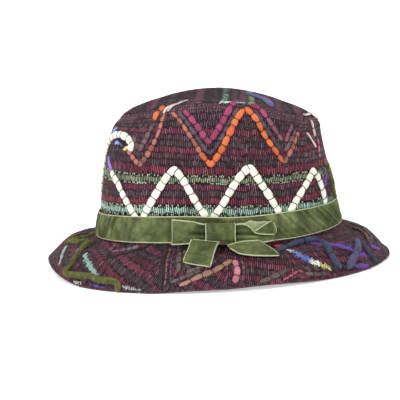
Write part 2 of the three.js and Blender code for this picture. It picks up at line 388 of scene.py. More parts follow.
def woven_material(name, rows, repeat=False):
    """Ribbed weave. The map counts ribs one way and rows the other, and each row has its colour."""
    tree = Tree(name)
    ribs, lines, _ = tree.map_parts("weave")
    solid = tree.solid()
    row_luck = tree.luck(lines.maths("FLOOR"))
    lean = (row_luck - 0.5) * SLANT * lines.maths("FRACT")
    wander = (tree.noise(solid, 90.0, 3.0) - 0.5) * WANDER
    ribs = (ribs + wander) + (row_luck * ROW_SHIFT + lean)
    ragged = (tree.luck(ribs.maths("FLOOR")) - 0.5) * RAGGED
    lines = (lines + ragged).maths("MAXIMUM", 0.0)
    away = (ribs.maths("FRACT") - 0.5).maths("ABSOLUTE") * 2.0
    part = lines.maths("FRACT")
    pointed = part.maths("MINIMUM", 1.0 - part).ranged(*BAR_TAPER)
    bar = (away + pointed).ranged(*BAR_EDGE)
    cell = tree.vector(ribs.maths("FLOOR"), lines.maths("FLOOR"), 0.0)
    chance = tree.node("ShaderNodeTexWhiteNoise", {"Vector": cell}, noise_dimensions="2D")
    luck = Value(tree, chance.outputs[0])
    fleck = tree.parts(Value(tree, chance.outputs[1]))[1]
    at = lines.maths("DIVIDE", float(len(rows)))
    ramp = tree.node("ShaderNodeValToRGB", {0: at.maths("FRACT") if repeat else at})
    ramp.color_ramp.interpolation = "CONSTANT"
    stops = ramp.color_ramp.elements
    while len(stops) < len(rows):
        stops.new(1.0)
    for index, value in enumerate(rows):
        stops[index].position = index / float(len(rows))
        stops[index].color = tuple(value[:3]) + (0.0 if value == BEAD_PALE else 1.0,)
    fibre = tree.noise(tree.vector(ribs * 7.0, lines * 4.0, 0.0), 1.0, 3.0, 0.6)
    light = luck.ranged(*BAR_LIGHT) * fibre.ranged(*FIBRE_LIGHT)
    light = light * tree.noise(solid, 45.0, 2.0).ranged(*PATCH_LIGHT)
    tone = tree.lit(Value(tree, ramp.outputs[0]), light)
    tone = tree.mixed(fleck.ranged(*PALE_FLECK), tone, WEFT_FLECK)
    tone = tree.mixed(fleck.ranged(*DARK_FLECK), tone, DARK)
    beaded = Value(tree, ramp.outputs[1]).maths("MAXIMUM", luck.maths("GREATER_THAN", BEAD_CHANCE))
    cover = bar * beaded
    base = tree.mixed(cover, DARK, tone)
    bump = (cover + fibre * 0.35, 0.8, 0.0005)
    tree.finish(base, bump, fibre.ranged(0.2, 0.8, 0.8, 0.98), 0.1, 0.5, WOOL_HAIR, 0.12)
    return tree.material


# Spun and fuzzy yarn: scale of the fibres, dimmest and brightest mottle, its relief, and bump distance
SPUN = (1.6, 0.9, 1.12, 0.4, 0.0004)
FUZZY = (3.0, 0.66, 1.24, 1.2, 0.0012)


def yarn_material(name, tone, vary=0.3, sheen=0.12, kind=SPUN):
    """Yarn. One map runs along and round it in millimetres, and one counts its segments."""
    fibre_scale, dimmest, brightest, relief, distance = kind
    tree = Tree(name)
    along, around, _ = tree.map_parts("weave")
    number = tree.map_parts("part")[0]
    fibre_at = tree.vector(along * 0.5, around * 2.2 + along * 0.55, number)
    fibre = tree.noise(fibre_at, fibre_scale, 4.0, 0.65)
    mottle = tree.noise(tree.solid(), 260.0, 3.0, 0.6)
    luck = tree.luck(number).ranged(0.0, 1.0, 1 - vary, 1 + 0.5 * vary)
    light = luck * fibre.ranged(0.25, 0.75, 0.72, 1.18)
    light = light * mottle.ranged(0.3, 0.7, dimmest, brightest)
    bump = (fibre + mottle * relief, 0.7, distance)
    tree.finish(tree.lit(tone, light), bump, fibre.ranged(0.2, 0.8, 0.75, 0.95), sheen, 0.45, tone)
    return tree.material


def velvet_material():
    """Crushed pile. The map of parts gives how lit each quad is."""
    tree = Tree("velvet")
    solid = tree.solid()
    brushed = tree.noise(solid, 55.0, 4.0, 0.6)
    crush = tree.noise(solid, 210.0, 3.0, 0.55)
    pile = tree.noise(solid, 2200.0, 2.0, 0.5)
    base = tree.mixed(brushed.ranged(0.36, 0.66), VELVET_DARK, VELVET_LIGHT)
    base = tree.mixed(0.45, base, VELVET)
    shade = tree.map_parts("part")[0]
    light = crush.ranged(0.3, 0.7, 0.76, 1.2) * pile.ranged(0.3, 0.7, 0.8, 1.18)
    light = light * (shade * 0.95 + 0.43)
    bump = (pile + crush * 1.6, 0.5, 0.0003)
    rough = crush.ranged(0.2, 0.8, 0.85, 1.0)
    tree.finish(tree.lit(base, light), bump, rough, 0.32, 0.35, VELVET_SHEEN, 0.12)
    return tree.material


def backing_material(name, tone, across_scale, along_scale):
    """Fine plain weave of the ribbon's back and of its selvedges."""
    tree = Tree(name)
    along, across, _ = tree.map_parts("weave")
    weave = (along * along_scale).maths("SINE") * (across * across_scale).maths("SINE")
    mottle = tree.noise(tree.solid(), 400.0, 3.0)
    light = weave.ranged(-1.0, 1.0, 0.8, 1.12) * mottle.ranged(0.3, 0.7, 0.84, 1.1)
    rough = mottle.ranged(0.2, 0.8, 0.7, 0.9)
    tree.finish(tree.lit(tone, light), (weave, 0.5, 0.0002), rough, 0.3, 0.4, tone)
    return tree.material


# Points of a piece that are closer than this are one
WELD = 0.001


class Build:
    """Points, quads and map coordinates of one piece, gathered and then made into an object."""

    def __init__(self):
        self.points = []
        self.quads = []
        self.coords = []
        self.parts = []
        self.looks = []
        self.total = 0

    def add(self, points, quads, coords, part=0.0, look=0):
        points = points.reshape(-1, 3)
        self.points.append(points)
        self.quads.append(quads + self.total)
        self.coords.append(coords)
        part = np.asarray(part, float)
        self.parts.append(np.broadcast_to(part if part.ndim == 2 else part.reshape(-1, 1), (len(quads), 4)))
        self.looks.append(np.broadcast_to(np.asarray(look, int), (len(quads),)))
        self.total += len(points)

    def make(self, name, materials, slot, nodes=(), weld=False):
        points = no_lower(np.concatenate(self.points), 0.0)
        quads = np.concatenate(self.quads)
        mesh = bpy.data.meshes.new(name)
        mesh.from_pydata((points * MM).tolist(), [], quads.tolist())
        coords = np.concatenate(self.coords).reshape(-1, 2)
        parts = np.concatenate(self.parts).ravel()
        for layer, pairs in (("weave", coords), ("part", np.stack([parts, np.zeros_like(parts)], -1))):
            mesh.uv_layers.new(name=layer).data.foreach_set("uv", pairs.astype(np.float32).ravel())
        for material in materials:
            mesh.materials.append(material)
        mesh.polygons.foreach_set("material_index", np.concatenate(self.looks).astype(np.int32))
        mesh.polygons.foreach_set("use_smooth", np.ones(len(quads), bool))
        mesh.update()
        if weld:
            joined = bmesh.new()
            joined.from_mesh(mesh)
            bmesh.ops.remove_doubles(joined, verts=joined.verts, dist=WELD * MM)
            joined.to_mesh(mesh)
            joined.free()
        piece = bpy.data.objects.new(name, mesh)
        bpy.context.scene.collection.objects.link(piece)
        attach(piece, "root")
        if nodes:
            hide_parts(*nodes)
        return piece


def grid_quads(columns, rows, closed=False, flip=False):
    spans = columns if closed else columns - 1
    column, row = np.meshgrid(np.arange(spans), np.arange(rows - 1), indexing="ij")
    here = column * rows + row
    there = (column + 1) % columns * rows + row
    quads = np.stack([here, there, there + 1, here + 1], -1).reshape(-1, 4)
    return quads[:, ::-1] if flip else quads


def grid_coords(first, second, flip=False):
    """Map coordinates of a grid's quads. Both arrays have one more column than there are spans."""
    pair = np.stack(np.broadcast_arrays(first, second), -1)
    quads = np.stack([pair[:-1, :-1], pair[1:, :-1], pair[1:, 1:], pair[:-1, 1:]], 2).reshape(-1, 4, 2)
    return quads[:, ::-1] if flip else quads


def tube_quads(steps, sides):
    step, side = np.meshgrid(np.arange(steps - 1), np.arange(sides), indexing="ij")
    here = step * sides + side
    beside = step * sides + (side + 1) % sides
    return np.stack([here, here + sides, beside + sides, beside], -1).reshape(-1, 4)


def lengths_of(points):
    steps = np.linalg.norm(np.diff(points, axis=0), axis=1)
    return np.concatenate([[0.0], np.cumsum(steps)])


def each_of(value, count):
    """A number, or one for each of so many things."""
    return np.broadcast_to(np.asarray(value, float), (count,))


def tube(target, centres, normals, half_width, half_height, sides=8, part=0.0, look=0):
    """A tube along centres, wide across the surface that it lies on and flat towards it."""
    count = len(centres)
    tangents = unit(np.gradient(centres, axis=0))
    normals = unit(normals - tangents * (normals * tangents).sum(1, keepdims=True))
    across = np.cross(tangents, normals)
    angles = np.linspace(0, FULL_TURN, sides, endpoint=False)
    wide = each_of(half_width, count)
    tall = each_of(half_height, count)
    rings = (centres[:, None]
             + across[:, None] * (wide[:, None] * np.cos(angles))[..., None]
             + normals[:, None] * (tall[:, None] * np.sin(angles))[..., None])
    around = np.linspace(0, FULL_TURN, sides + 1)[None] * wide.mean()
    parts = np.repeat(each_of(part, count)[:-1], sides)
    coords = grid_coords(lengths_of(centres)[:, None], around)
    target.add(rings, tube_quads(count, sides), coords, parts, look)


PATH_STEP = 0.25


def resampled(lines, at, wanted):
    """Each column of the lines, known at some lengths, at the wanted lengths."""
    return np.stack([np.interp(wanted, at, column) for column in lines.T], 1)


def along_skin(path, step, rounding=1.5):
    """A path of [round, up, width] as points, normals, widths and heights a step apart."""
    path = np.asarray(path, float)
    rough = lengths_of(path[:, :2])
    lines = resampled(path, rough, np.arange(0, rough[-1], PATH_STEP))
    reach = max(int(rounding / PATH_STEP), 1)
    padded = np.concatenate([np.repeat(lines[:1], reach, 0), lines, np.repeat(lines[-1:], reach, 0)])
    kernel = np.hanning(2 * reach + 3)[1:-1]
    kernel = kernel / kernel.sum()
    lines = np.stack([np.convolve(column, kernel, "valid") for column in padded.T], 1)
    run = lengths_of(skin(turn_at(lines[:, 0]), place_at(lines[:, 1])))
    lines = resampled(lines, run, np.linspace(0, run[-1], max(int(run[-1] / step) + 1, 4)))
    turns = turn_at(lines[:, 0])
    places = place_at(lines[:, 1])
    return skin(turns, places), skin_normal(turns, places), lines[:, 2], lines[:, 1]


def segment_shape(run, segment, pinch, fullness, random):
    """How full a yarn is along its run where ties pinch it, the number of each segment and the ties."""
    count = max(int(round(run[-1] / segment)), 1)
    marks = np.linspace(0, run[-1], count + 1)
    marks[1:-1] += random.uniform(-0.14, 0.14, count - 1) * segment
    number = np.clip(np.searchsorted(marks, run, side="right") - 1, 0, count - 1)
    part = (run - marks[number]) / (marks[number + 1] - marks[number])
    full = pinch + (1 - pinch) * np.sin(math.pi * np.clip(part, 0, 1)) ** fullness
    return full, number, marks


# Threads that tie the yarns down: half width and height, gap to the yarn, and the arc that shows
TIES = Build()
TIE_WIDE = 0.37
TIE_TALL = 0.33
TIE_GAP = 0.1
TIE_ARC = np.radians(np.linspace(-25, 205, 9))
TIED, FREE = True, False


def couched(target, path, height, segment, pinch, fullness=0.5, look=0, seed=1, sink=0.15, step=0.7,
            rounding=1.5, tied=True, uneven=0.12, under=None, fuzz=None):
    """A yarn laid on the cloth and held by small tie threads. Its path gives its width too."""
    random = np.random.default_rng(seed)
    points, normals, widths, ups = along_skin(path, step, rounding)
    run = lengths_of(points)
    full, number, marks = segment_shape(run, segment, pinch, fullness, random)
    shades = random.uniform(0, 1, len(marks))
    waves = len(marks) * 2
    swell = 1 + uneven * np.interp(run, np.linspace(0, run[-1], waves), random.uniform(-1, 1, waves))
    ends = np.minimum(1, np.minimum(run, run[-1] - run) / (0.35 * widths.mean()) + 0.25)
    flat = np.ones_like(run) if under is None else 0.15 + 0.85 * smooth(ups, under, under + 3.5)
    wide = 0.5 * widths * full * swell * ends
    tall = 0.5 * height * (0.25 + 0.75 * full) * swell * ends * flat * widths / widths.max()
    centres = points + normals * (tall * (1 - 2 * sink))[:, None]
    tube(target, centres, normals, wide, tall, 10, number + 40.0 * seed + shades[number], look)
    tangents = unit(np.gradient(centres, axis=0))
    across = np.cross(tangents, normals)
    if fuzz is not None:
        hairs(target, centres, normals, across, wide, tall, random, look, *fuzz)
    for mark in marks[1:-1] if tied else ():
        at = int(np.clip(np.searchsorted(run, mark), 1, len(run) - 2))
        lean = random.uniform(-0.7, 0.7)
        cosine = np.cos(TIE_ARC)[:, None]
        sine = np.sin(TIE_ARC)[:, None]
        loop = (centres[at] + across[at] * ((wide[at] + TIE_GAP) * cosine)
                + normals[at] * ((tall[at] + TIE_GAP) * sine) + tangents[at] * (lean * cosine))
        tube(TIES, loop, across[at] * cosine + normals[at] * sine, TIE_WIDE, TIE_TALL, 5, seed + mark)


# Hairs start a little under the surface and lean off at random
ROOT_DEPTH = 0.9
HAIR_LEAN = 0.55


def hairs(target, centres, normals, across, wide, tall, random, look, count, length, thick):
    """Short bent hairs that stand out from a yarn. Each is two quads, thinner towards the tip."""
    at = random.integers(0, len(centres), count)
    angle = random.uniform(-0.5, math.pi + 0.5, count)
    cosine = np.cos(angle)[:, None]
    sine = np.sin(angle)[:, None]
    outward = across[at] * cosine + normals[at] * sine
    root = (centres[at] + across[at] * (wide[at, None] * ROOT_DEPTH * cosine)
            + normals[at] * (tall[at, None] * ROOT_DEPTH * sine))
    first = unit(outward + random.normal(0, HAIR_LEAN, (count, 3)))
    second = unit(first + random.normal(0, 0.6, (count, 3)))
    size = length * random.uniform(0.45, 1.2, count)[:, None]
    sideways = unit(np.cross(first, random.normal(0, 1, (count, 3)))) * thick
    middle = root + first * size * 0.55
    tip = middle + second * size * 0.45
    strand = np.stack([root - sideways, root + sideways, middle - sideways * 0.7, middle + sideways * 0.7,
                       tip - sideways * 0.15, tip + sideways * 0.15], 1)
    starts = np.arange(count)[:, None] * 6
    quads = np.concatenate([starts + [0, 1, 3, 2], starts + [2, 3, 5, 4]])
    target.add(strand, quads, np.zeros((len(quads), 4, 2)), np.tile(random.uniform(0, 60, count), 2), look)


# A stitch is a spindle: places of its rings along it, how full each is, and its sides
GRAIN_RINGS = np.array([-1.0, -0.82, -0.3, 0.3, 0.82, 1.0])
GRAIN_FULL = np.array([0.15, 0.75, 1.0, 1.0, 0.75, 0.15])
GRAIN_SIDES = 6


def grains(target, centres, along, normals, length, width, height, part, look):
    """Many small spindle-shaped stitches, each with its own direction and size."""
    count = len(centres)
    rings = len(GRAIN_RINGS)
    across = np.cross(along, normals)
    angles = np.linspace(0, FULL_TURN, GRAIN_SIDES, endpoint=False)
    length, width, height = (each_of(value, count)[:, None, None, None] for value in (length, width, height))
    ring = GRAIN_RINGS[None, :, None, None] * 0.5 * length * along[:, None, None]
    full = GRAIN_FULL[None, :, None, None]
    cosine = np.cos(angles)[None, None, :, None]
    sine = np.sin(angles)[None, None, :, None]
    shape = (centres[:, None, None] + ring + across[:, None, None] * (full * 0.5 * width) * cosine
             + normals[:, None, None] * (full * 0.5 * height) * sine)
    base = tube_quads(rings, GRAIN_SIDES)
    quads = (np.arange(count)[:, None, None] * rings * GRAIN_SIDES + base).reshape(-1, 4)
    run = np.linspace(0, 1, rings)[:, None] * 5.0
    turn = np.linspace(0, 3, GRAIN_SIDES + 1)[None]
    target.add(shape, quads, np.tile(grid_coords(run, turn), (count, 1, 1)), np.repeat(part, len(base)), look)


def rungs(target, path, pitch, seed, lean, look, scatter=0.25, spread=0.22, width=0.75, height=0.6):
    """A row of short stitches across a path. The path's width is the length of the stitches."""
    random = np.random.default_rng(seed)
    points, normals, widths, _ = along_skin(path, pitch, 1.0)
    tangents = unit(np.gradient(points, axis=0))
    across = np.cross(tangents, normals)
    count = len(points)
    angle = (lean + random.normal(0, scatter, count))[:, None]
    direction = unit(across * np.cos(angle) + tangents * np.sin(angle))
    shift = random.normal(0, spread, count) * widths
    centres = points + normals * 0.3 + across * shift[:, None]
    grains(target, centres, direction, normals, widths * random.uniform(0.45, 1.1, count),
           width * random.uniform(0.7, 1.2, count), height, random.uniform(0, 90, count), look)


# Woven cloth of the crown's side: the top of each row up the wall, its colour and its number of rings
CROWN_ROWS = [
    (8.0, MAROON, 1), (15.5, CHARCOAL, 1), (22.8, MAROON, 1), (24.2, BEAD_PALE, 2), (29.3, TURQUOISE, 3),
    (31.0, BEAD_PALE, 2), (36.3, CRIMSON, 3), (42.0, CHARCOAL, 3), (46.8, MAROON, 3), (48.3, BEAD_PALE, 2),
    (52.6, OLIVE_PALE, 3), (54.3, BEAD_PALE, 2), (61.5, CRIMSON, 3), (66.5, CHARCOAL, 3), (71.5, PLUM, 3),
    (77.5, MAROON, 3), (83.5, CHARCOAL, 3), (89.5, PLUM, 3), (97.0, MAROON, 3), (104.5, CHARCOAL, 3),
    # From 119.5 up the rows are paler: painted sheen where the fuzzy wool catches the light at the crown's
    # upper rim
    (114.0, PLUM, 3), (119.5, CHARCOAL_PAINTED_SHEEN, 3), (125.0, MAROON_PAINTED_SHEEN, 3), (134.0, CHARCOAL_PAINTED_SHEEN, 3),
    (145.404, MAROON_PAINTED_SHEEN, 3),
]
RING_SHARES = {1: (0.0,), 2: (0.0, 0.5), 3: (0.0, 0.16, 0.84)}
RIBS = 340
STEPS_A_RIB = 3
RIB_SHAPE = np.array([0.0, 1.0, 1.0])
RIB_DEPTH = 0.16
ROW_DROP = 2.8
SEAM_DEPTH = 0.7
INNER_ROWS = 9
RIM_MAP = np.array([[0.4, 0.6]])


def crown_side(materials):
    random = np.random.default_rng(11)
    marks = []
    low = 0.0
    for index, (high, _, rings) in enumerate(CROWN_ROWS):
        for share in RING_SHARES[rings]:
            marks.append((low + (high - low) * share, index + share, float(share > 0)))
        low = high
    marks.append((low, len(CROWN_ROWS), 0.0))
    ups, lines, edges = np.array(marks).T[:, None]
    columns = RIBS * STEPS_A_RIB
    steps = np.arange(columns)[:, None]
    turns = FULL_TURN * steps / columns
    fade = smooth(ups, 4, 24) * (1 - smooth(ups, 118, 143))
    places = BASE + (ups - ROW_DROP * np.cos(turns) * fade) / WALL_LENGTH
    each = random.uniform(0.6, 1.0, (RIBS, len(CROWN_ROWS) + 1))
    each = each[steps // STEPS_A_RIB, np.floor(lines).astype(int)]
    relief = RIB_DEPTH * (RIB_SHAPE[steps % STEPS_A_RIB] * (0.3 + 0.7 * edges) * each - 1)
    outer = skin(turns, places, relief - SEAM_DEPTH * bell(places - SEAM, 0.1))
    build = Build()
    count = np.arange(columns + 1)[:, None] / STEPS_A_RIB
    build.add(outer, grid_quads(columns, outer.shape[1], True), grid_coords(count, lines))
    inner = skin(turns, np.linspace(BASE, SEAM, INNER_ROWS)[None], -CROWN_WALL)
    coords = grid_coords(count, np.linspace(0, 18, INNER_ROWS)[None], True)
    build.add(inner, grid_quads(columns, INNER_ROWS, True, True), coords, look=1)
    for level in (0, -1):
        rim = np.stack([outer[:, level], inner[:, level]], 1)
        build.add(rim, grid_quads(columns, 2, True, True), grid_coords(count, RIM_MAP, level == 0), look=1)
    return build.make("crown_side_cloth", materials, "woven_cloth", ["crown_side"])


# Woven cloth of the top: where each row ends from front to back, and its colour
TIP_ROWS = [
    (-72.0, TIP_MAROON), (-64.0, TIP_DARK), (-57.0, TIP_PLUM), (-49.0, TIP_MAROON), (-41.0, TIP_DARK),
    (-33.0, TAUPE), (-26.0, TIP_PLUM), (-18.0, TIP_DARK), (-10.0, TIP_MAROON), (-2.0, TIP_DARK),
    (5.0, TIP_PLUM), (11.0, TURQUOISE), (18.0, TIP_DARK), (26.5, TIP_PLUM), (32.5, OLIVE_PALE),
    (40.0, TIP_DARK), (48.0, TIP_MAROON), (56.0, TIP_PLUM), (64.0, TIP_DARK), (72.0, TIP_MAROON),
    (84.0, TIP_DARK),
]
TIP_START = -84.0
TIP_PITCH = 1.6
TIP_STEPS = 71
TIP_COLUMNS = 240
TIP_PLACES = np.array([[SEAM, 5.8, 6.1, 6.5, 7.0, 7.6, 7.98]])
RIM_STEPS = 2001


def tip_place(turn, radius):
    """The place on the top at a distance from the middle line, by halving."""
    low = np.full_like(turn, SEAM - 0.2)
    high = np.full_like(turn, TOP)
    for _ in range(26):
        middle = (low + high) / 2
        outside = skin_radius(turn, middle) > radius
        low = np.where(outside, middle, low)
        high = np.where(outside, high, middle)
    return (low + high) / 2


def crown_tip(materials):
    rim_turns = np.linspace(0, FULL_TURN, RIM_STEPS)
    rim_radius = skin_radius(rim_turns, np.full(RIM_STEPS, SEAM))
    rim_x = rim_radius * np.cos(rim_turns)
    rim_y = rim_radius * np.sin(rim_turns)
    in_front = (rim_turns > math.pi / 2) & (rim_turns < 1.5 * math.pi)
    widest = min(rim_y.max(), -rim_y.min()) - 0.05
    lines = np.arange(-widest, widest, TIP_PITCH / STEPS_A_RIB)[:, None]
    ends = []
    for half in (in_front, ~in_front):
        order = np.argsort(rim_y[half])
        ends.append(np.interp(lines, rim_y[half][order], rim_x[half][order]))
    across = ends[0] + (ends[1] - ends[0]) * np.linspace(0, 1, TIP_STEPS)[None]
    turn = np.arctan2(lines, across) % FULL_TURN
    place = tip_place(turn, np.hypot(across, lines))
    steps = np.arange(len(lines))[:, None]
    relief = RIB_DEPTH * (RIB_SHAPE[steps % STEPS_A_RIB] - 1) - SEAM_DEPTH * bell(place - SEAM, 0.12)
    row_ends = [TIP_START] + [row[0] for row in TIP_ROWS]
    counts = np.interp(across, row_ends, np.arange(len(row_ends)))
    build = Build()
    coords = grid_coords(steps / STEPS_A_RIB, counts, True)
    build.add(skin(turn, place, relief), grid_quads(*across.shape, False, True), coords)
    turns = np.linspace(0, FULL_TURN, TIP_COLUMNS, endpoint=False)[:, None]
    inner = skin(turns, TIP_PLACES, -CROWN_WALL)
    count = np.arange(TIP_COLUMNS + 1)[:, None]
    quads = grid_quads(TIP_COLUMNS, TIP_PLACES.shape[1], True, True)
    build.add(inner, quads, grid_coords(count, TIP_PLACES * 4, True), look=1)
    rim = np.stack([skin(turns[:, 0], SEAM, -1.0), inner[:, 0]], 1)
    build.add(rim, grid_quads(TIP_COLUMNS, 2, True), grid_coords(count, RIM_MAP), look=1)
    return build.make("crown_tip_cloth", materials, "woven_cloth", ["crown_tip"])


# Patches of cloth round the brim: where each ends, in degrees, and how far its ribs lean
BRIM_PATCHES = [
    (35, 20), (80, -30), (125, 12), (170, 36), (205, -30), (247, -24), (275, -26), (300, -14), (345, -6),
    (395, 20),
]
BRIM_ROWS = [
    TIP_MAROON, CHARCOAL, MAROON, TIP_DARK, TIP_MAROON, CHARCOAL, PLUM, MAROON, CHARCOAL, MAROON,
]
BRIM_PITCH = 1.55
BRIM_ROW = 6.4
BRIM_COLUMNS = 960
BRIM_LINES = 34

# Radii of the brim at its edge, half way up and at the crown
BRIM_RADII = (137.0, 120.0, 96.0)


def brim_coords(turns, places):
    """Rib and row numbers for the quads of a brim grid, patch by patch."""
    middles = np.degrees((turns[:-1] + turns[1:]) / 2)
    quads = np.zeros((len(middles), len(places) - 1, 4, 2))
    radius = np.interp(places, range(3), BRIM_RADII)
    start = 0
    for end, lean in BRIM_PATCHES:
        inside = (middles >= start) & (middles < end)
        first = (turns[:, None] - math.radians((start + end) / 2)) * radius[None]
        second = (places * BRIM_LENGTH)[None]
        angle = math.radians(lean)
        ribs = (first * math.cos(angle) + second * math.sin(angle)) / BRIM_PITCH + 200
        rows = (second * math.cos(angle) - first * math.sin(angle)) / BRIM_ROW + 100 + start / 40
        quads[inside] = grid_coords(ribs, rows).reshape(quads.shape)[inside]
        start = end
    return quads.reshape(-1, 4, 2)


def brim(materials):
    build = Build()
    turns = np.linspace(0, FULL_TURN, BRIM_COLUMNS + 1)
    places = np.linspace(0, 1, BRIM_LINES) ** 0.9 * BASE
    grid = (BRIM_COLUMNS, BRIM_LINES, True)
    coords = brim_coords(turns, places)
    outer = no_lower(skin(turns[:-1, None], places[None]), BRIM_WALL)
    build.add(outer, grid_quads(*grid), coords)
    inner = no_lower(skin(turns[:-1, None], places[None], -BRIM_WALL), 0.0)
    build.add(inner, grid_quads(*grid, True), coords[:, ::-1])
    outward = unit(outer[:, 0] - outer[:, 1]) * 0.9
    rolled = no_lower((outer[:, 0] + inner[:, 0]) / 2 + outward * np.array([1, 1, 0.3]), 0.6)
    rim = np.stack([inner[:, 0], rolled, outer[:, 0]], 1)
    count = np.arange(BRIM_COLUMNS + 1)[:, None] * 0.55
    build.add(rim, grid_quads(BRIM_COLUMNS, 3, True), grid_coords(count, np.array([[0.2, 0.5, 0.8]])))
    rim = np.stack([outer[:, -1], inner[:, -1]], 1)
    build.add(rim, grid_quads(BRIM_COLUMNS, 2, True), grid_coords(count, RIM_MAP))
    return build.make("brim_cloth", materials, "woven_cloth", ["brim"])


# Ribbon: width, lift of the band, thickness, and the thread along each selvedge
RIBBON_WIDTH = 21.0
BAND_LIFT = 0.55
RIBBON_THICK = 1.1
SELVEDGE_THICK = 0.46
SELVEDGE_LIFT = 0.12
SELVEDGE_OVER = 0.1
# Pale line across an end, for cut threads and for a painted highlight where the ribbon folds
PALE_END_THICK = 0.36
# Painted highlight along a loop's far fold: half width and height
FOLD_HIGHLIGHT_THICK = (0.42, 0.24)


def sheet_normals(points, closed=False):
    along = np.roll(points, -1, 0) - np.roll(points, 1, 0) if closed else np.gradient(points, axis=0)
    return unit(np.cross(along, np.gradient(points, axis=1)))


def tapered(count):
    """Full size all along, and nearly nothing at both ends."""
    taper = np.ones(count)
    taper[[0, -1]] = 0.02
    return taper


def ribbon_piece(name, points, nodes, closed=False, ends=(False, False), shade=0.6, highlight_column=None):
    """A velvet ribbon from a grid of points at its middle. Rows run along it, and it has pale selvedges."""
    build = Build()
    normals = sheet_normals(points, closed)
    columns, rows = points.shape[:2]
    front = points + normals * RIBBON_THICK / 2
    back = points - normals * RIBBON_THICK / 2
    middle_line = points[:, rows // 2]
    shade = np.broadcast_to(shade, (columns, rows))
    if closed:
        middle_line = np.concatenate([middle_line, middle_line[:1]])
        shade = np.concatenate([shade, shade[:1]])
    along = lengths_of(middle_line)[:, None]
    width = np.linspace(0, RIBBON_WIDTH, rows)[None]
    edge_map = np.array([[0.0, 1.0]])
    lit = grid_coords(shade, shade)[..., 0]
    build.add(front, grid_quads(columns, rows, closed), grid_coords(along, width), lit)
    build.add(back, grid_quads(columns, rows, closed, True), grid_coords(along, width, True), look=1)
    for row in (0, rows - 1):
        wall = np.stack([front[:, row], back[:, row]], 1)
        flip = row == 0
        build.add(wall, grid_quads(columns, 2, closed, flip), grid_coords(along, edge_map, flip), look=2)
        rim = points[:, row]
        lift = normals[:, row]
        taper = tapered(columns)
        if closed:
            rim = np.concatenate([rim, rim[:2]])
            lift = np.concatenate([lift, lift[:2]])
            taper = np.ones(len(rim))
        half_height = (RIBBON_THICK / 2 + SELVEDGE_OVER) * taper
        tube(build, rim + lift * SELVEDGE_LIFT, lift, SELVEDGE_THICK * taper, half_height, look=2)
    taper = tapered(rows)
    for column, pale_end in ((0, ends[0]), (columns - 1, ends[1])) if not closed else ():
        wall = np.stack([front[column], back[column]], 1)
        flip = column != 0
        build.add(wall, grid_quads(rows, 2, False, flip), grid_coords(width.T, edge_map, flip), look=2)
        # A pale line across an end: the cut threads at a tail's lower end, and a painted highlight where the
        # ribbon folds, at the left tail's upper end and the right loop's folded-over end
        if pale_end:
            tube(build, points[column] + normals[column] * 0.1, normals[column], PALE_END_THICK * taper,
                 (RIBBON_THICK / 2 + 0.08) * taper, look=2)
    # A pale tube along one column of the front: a painted highlight where the fold catches the light
    if highlight_column is not None:
        wide, tall = FOLD_HIGHLIGHT_THICK
        tube(build, front[highlight_column], normals[highlight_column], wide * taper, tall * taper, look=2)
    return build.make(name, RIBBON_LOOKS, "velvet_ribbon", nodes, weld=True)


# Gathers of the band where it is eased round the ends: turn, reach, number of folds, slant and depth
GATHERS = [
    (202, 30, 9, -0.2, 1.7), (328, 32, 11, 0.5, 1.7), (150, 18, 4, 0.2, 1.2), (24, 22, 5, -0.4, 1.4),
]
GATHER_BELLY = 1.5

# Edges of the band: millimetres round from the bow's middle, and heights of its lower and upper edge
BAND_EDGES = np.array([
    [-135, 2.8, 23.6], [-98, 2.4, 24.2], [-65, 1.4, 23.8], [-20, 0.6, 22.9], [0, 0.2, 22.0], [22, 0.0, 22.2],
    [60, 0.0, 23.0], [85, 1.4, 22.8], [112, 2.6, 22.8], [200, 1.2, 23.2], [300, 1.2, 23.0],
    [415.2, 2.8, 23.6],
])
BAND_COLUMNS = 1200
BAND_ROWS = 21

# Where the loops' far ends shade the band, in millimetres round
LOOP_SHADOWS = (-41.0, 47.0)
SHADOW_DARK = 0.4
SHADOW_REACH = 2.4


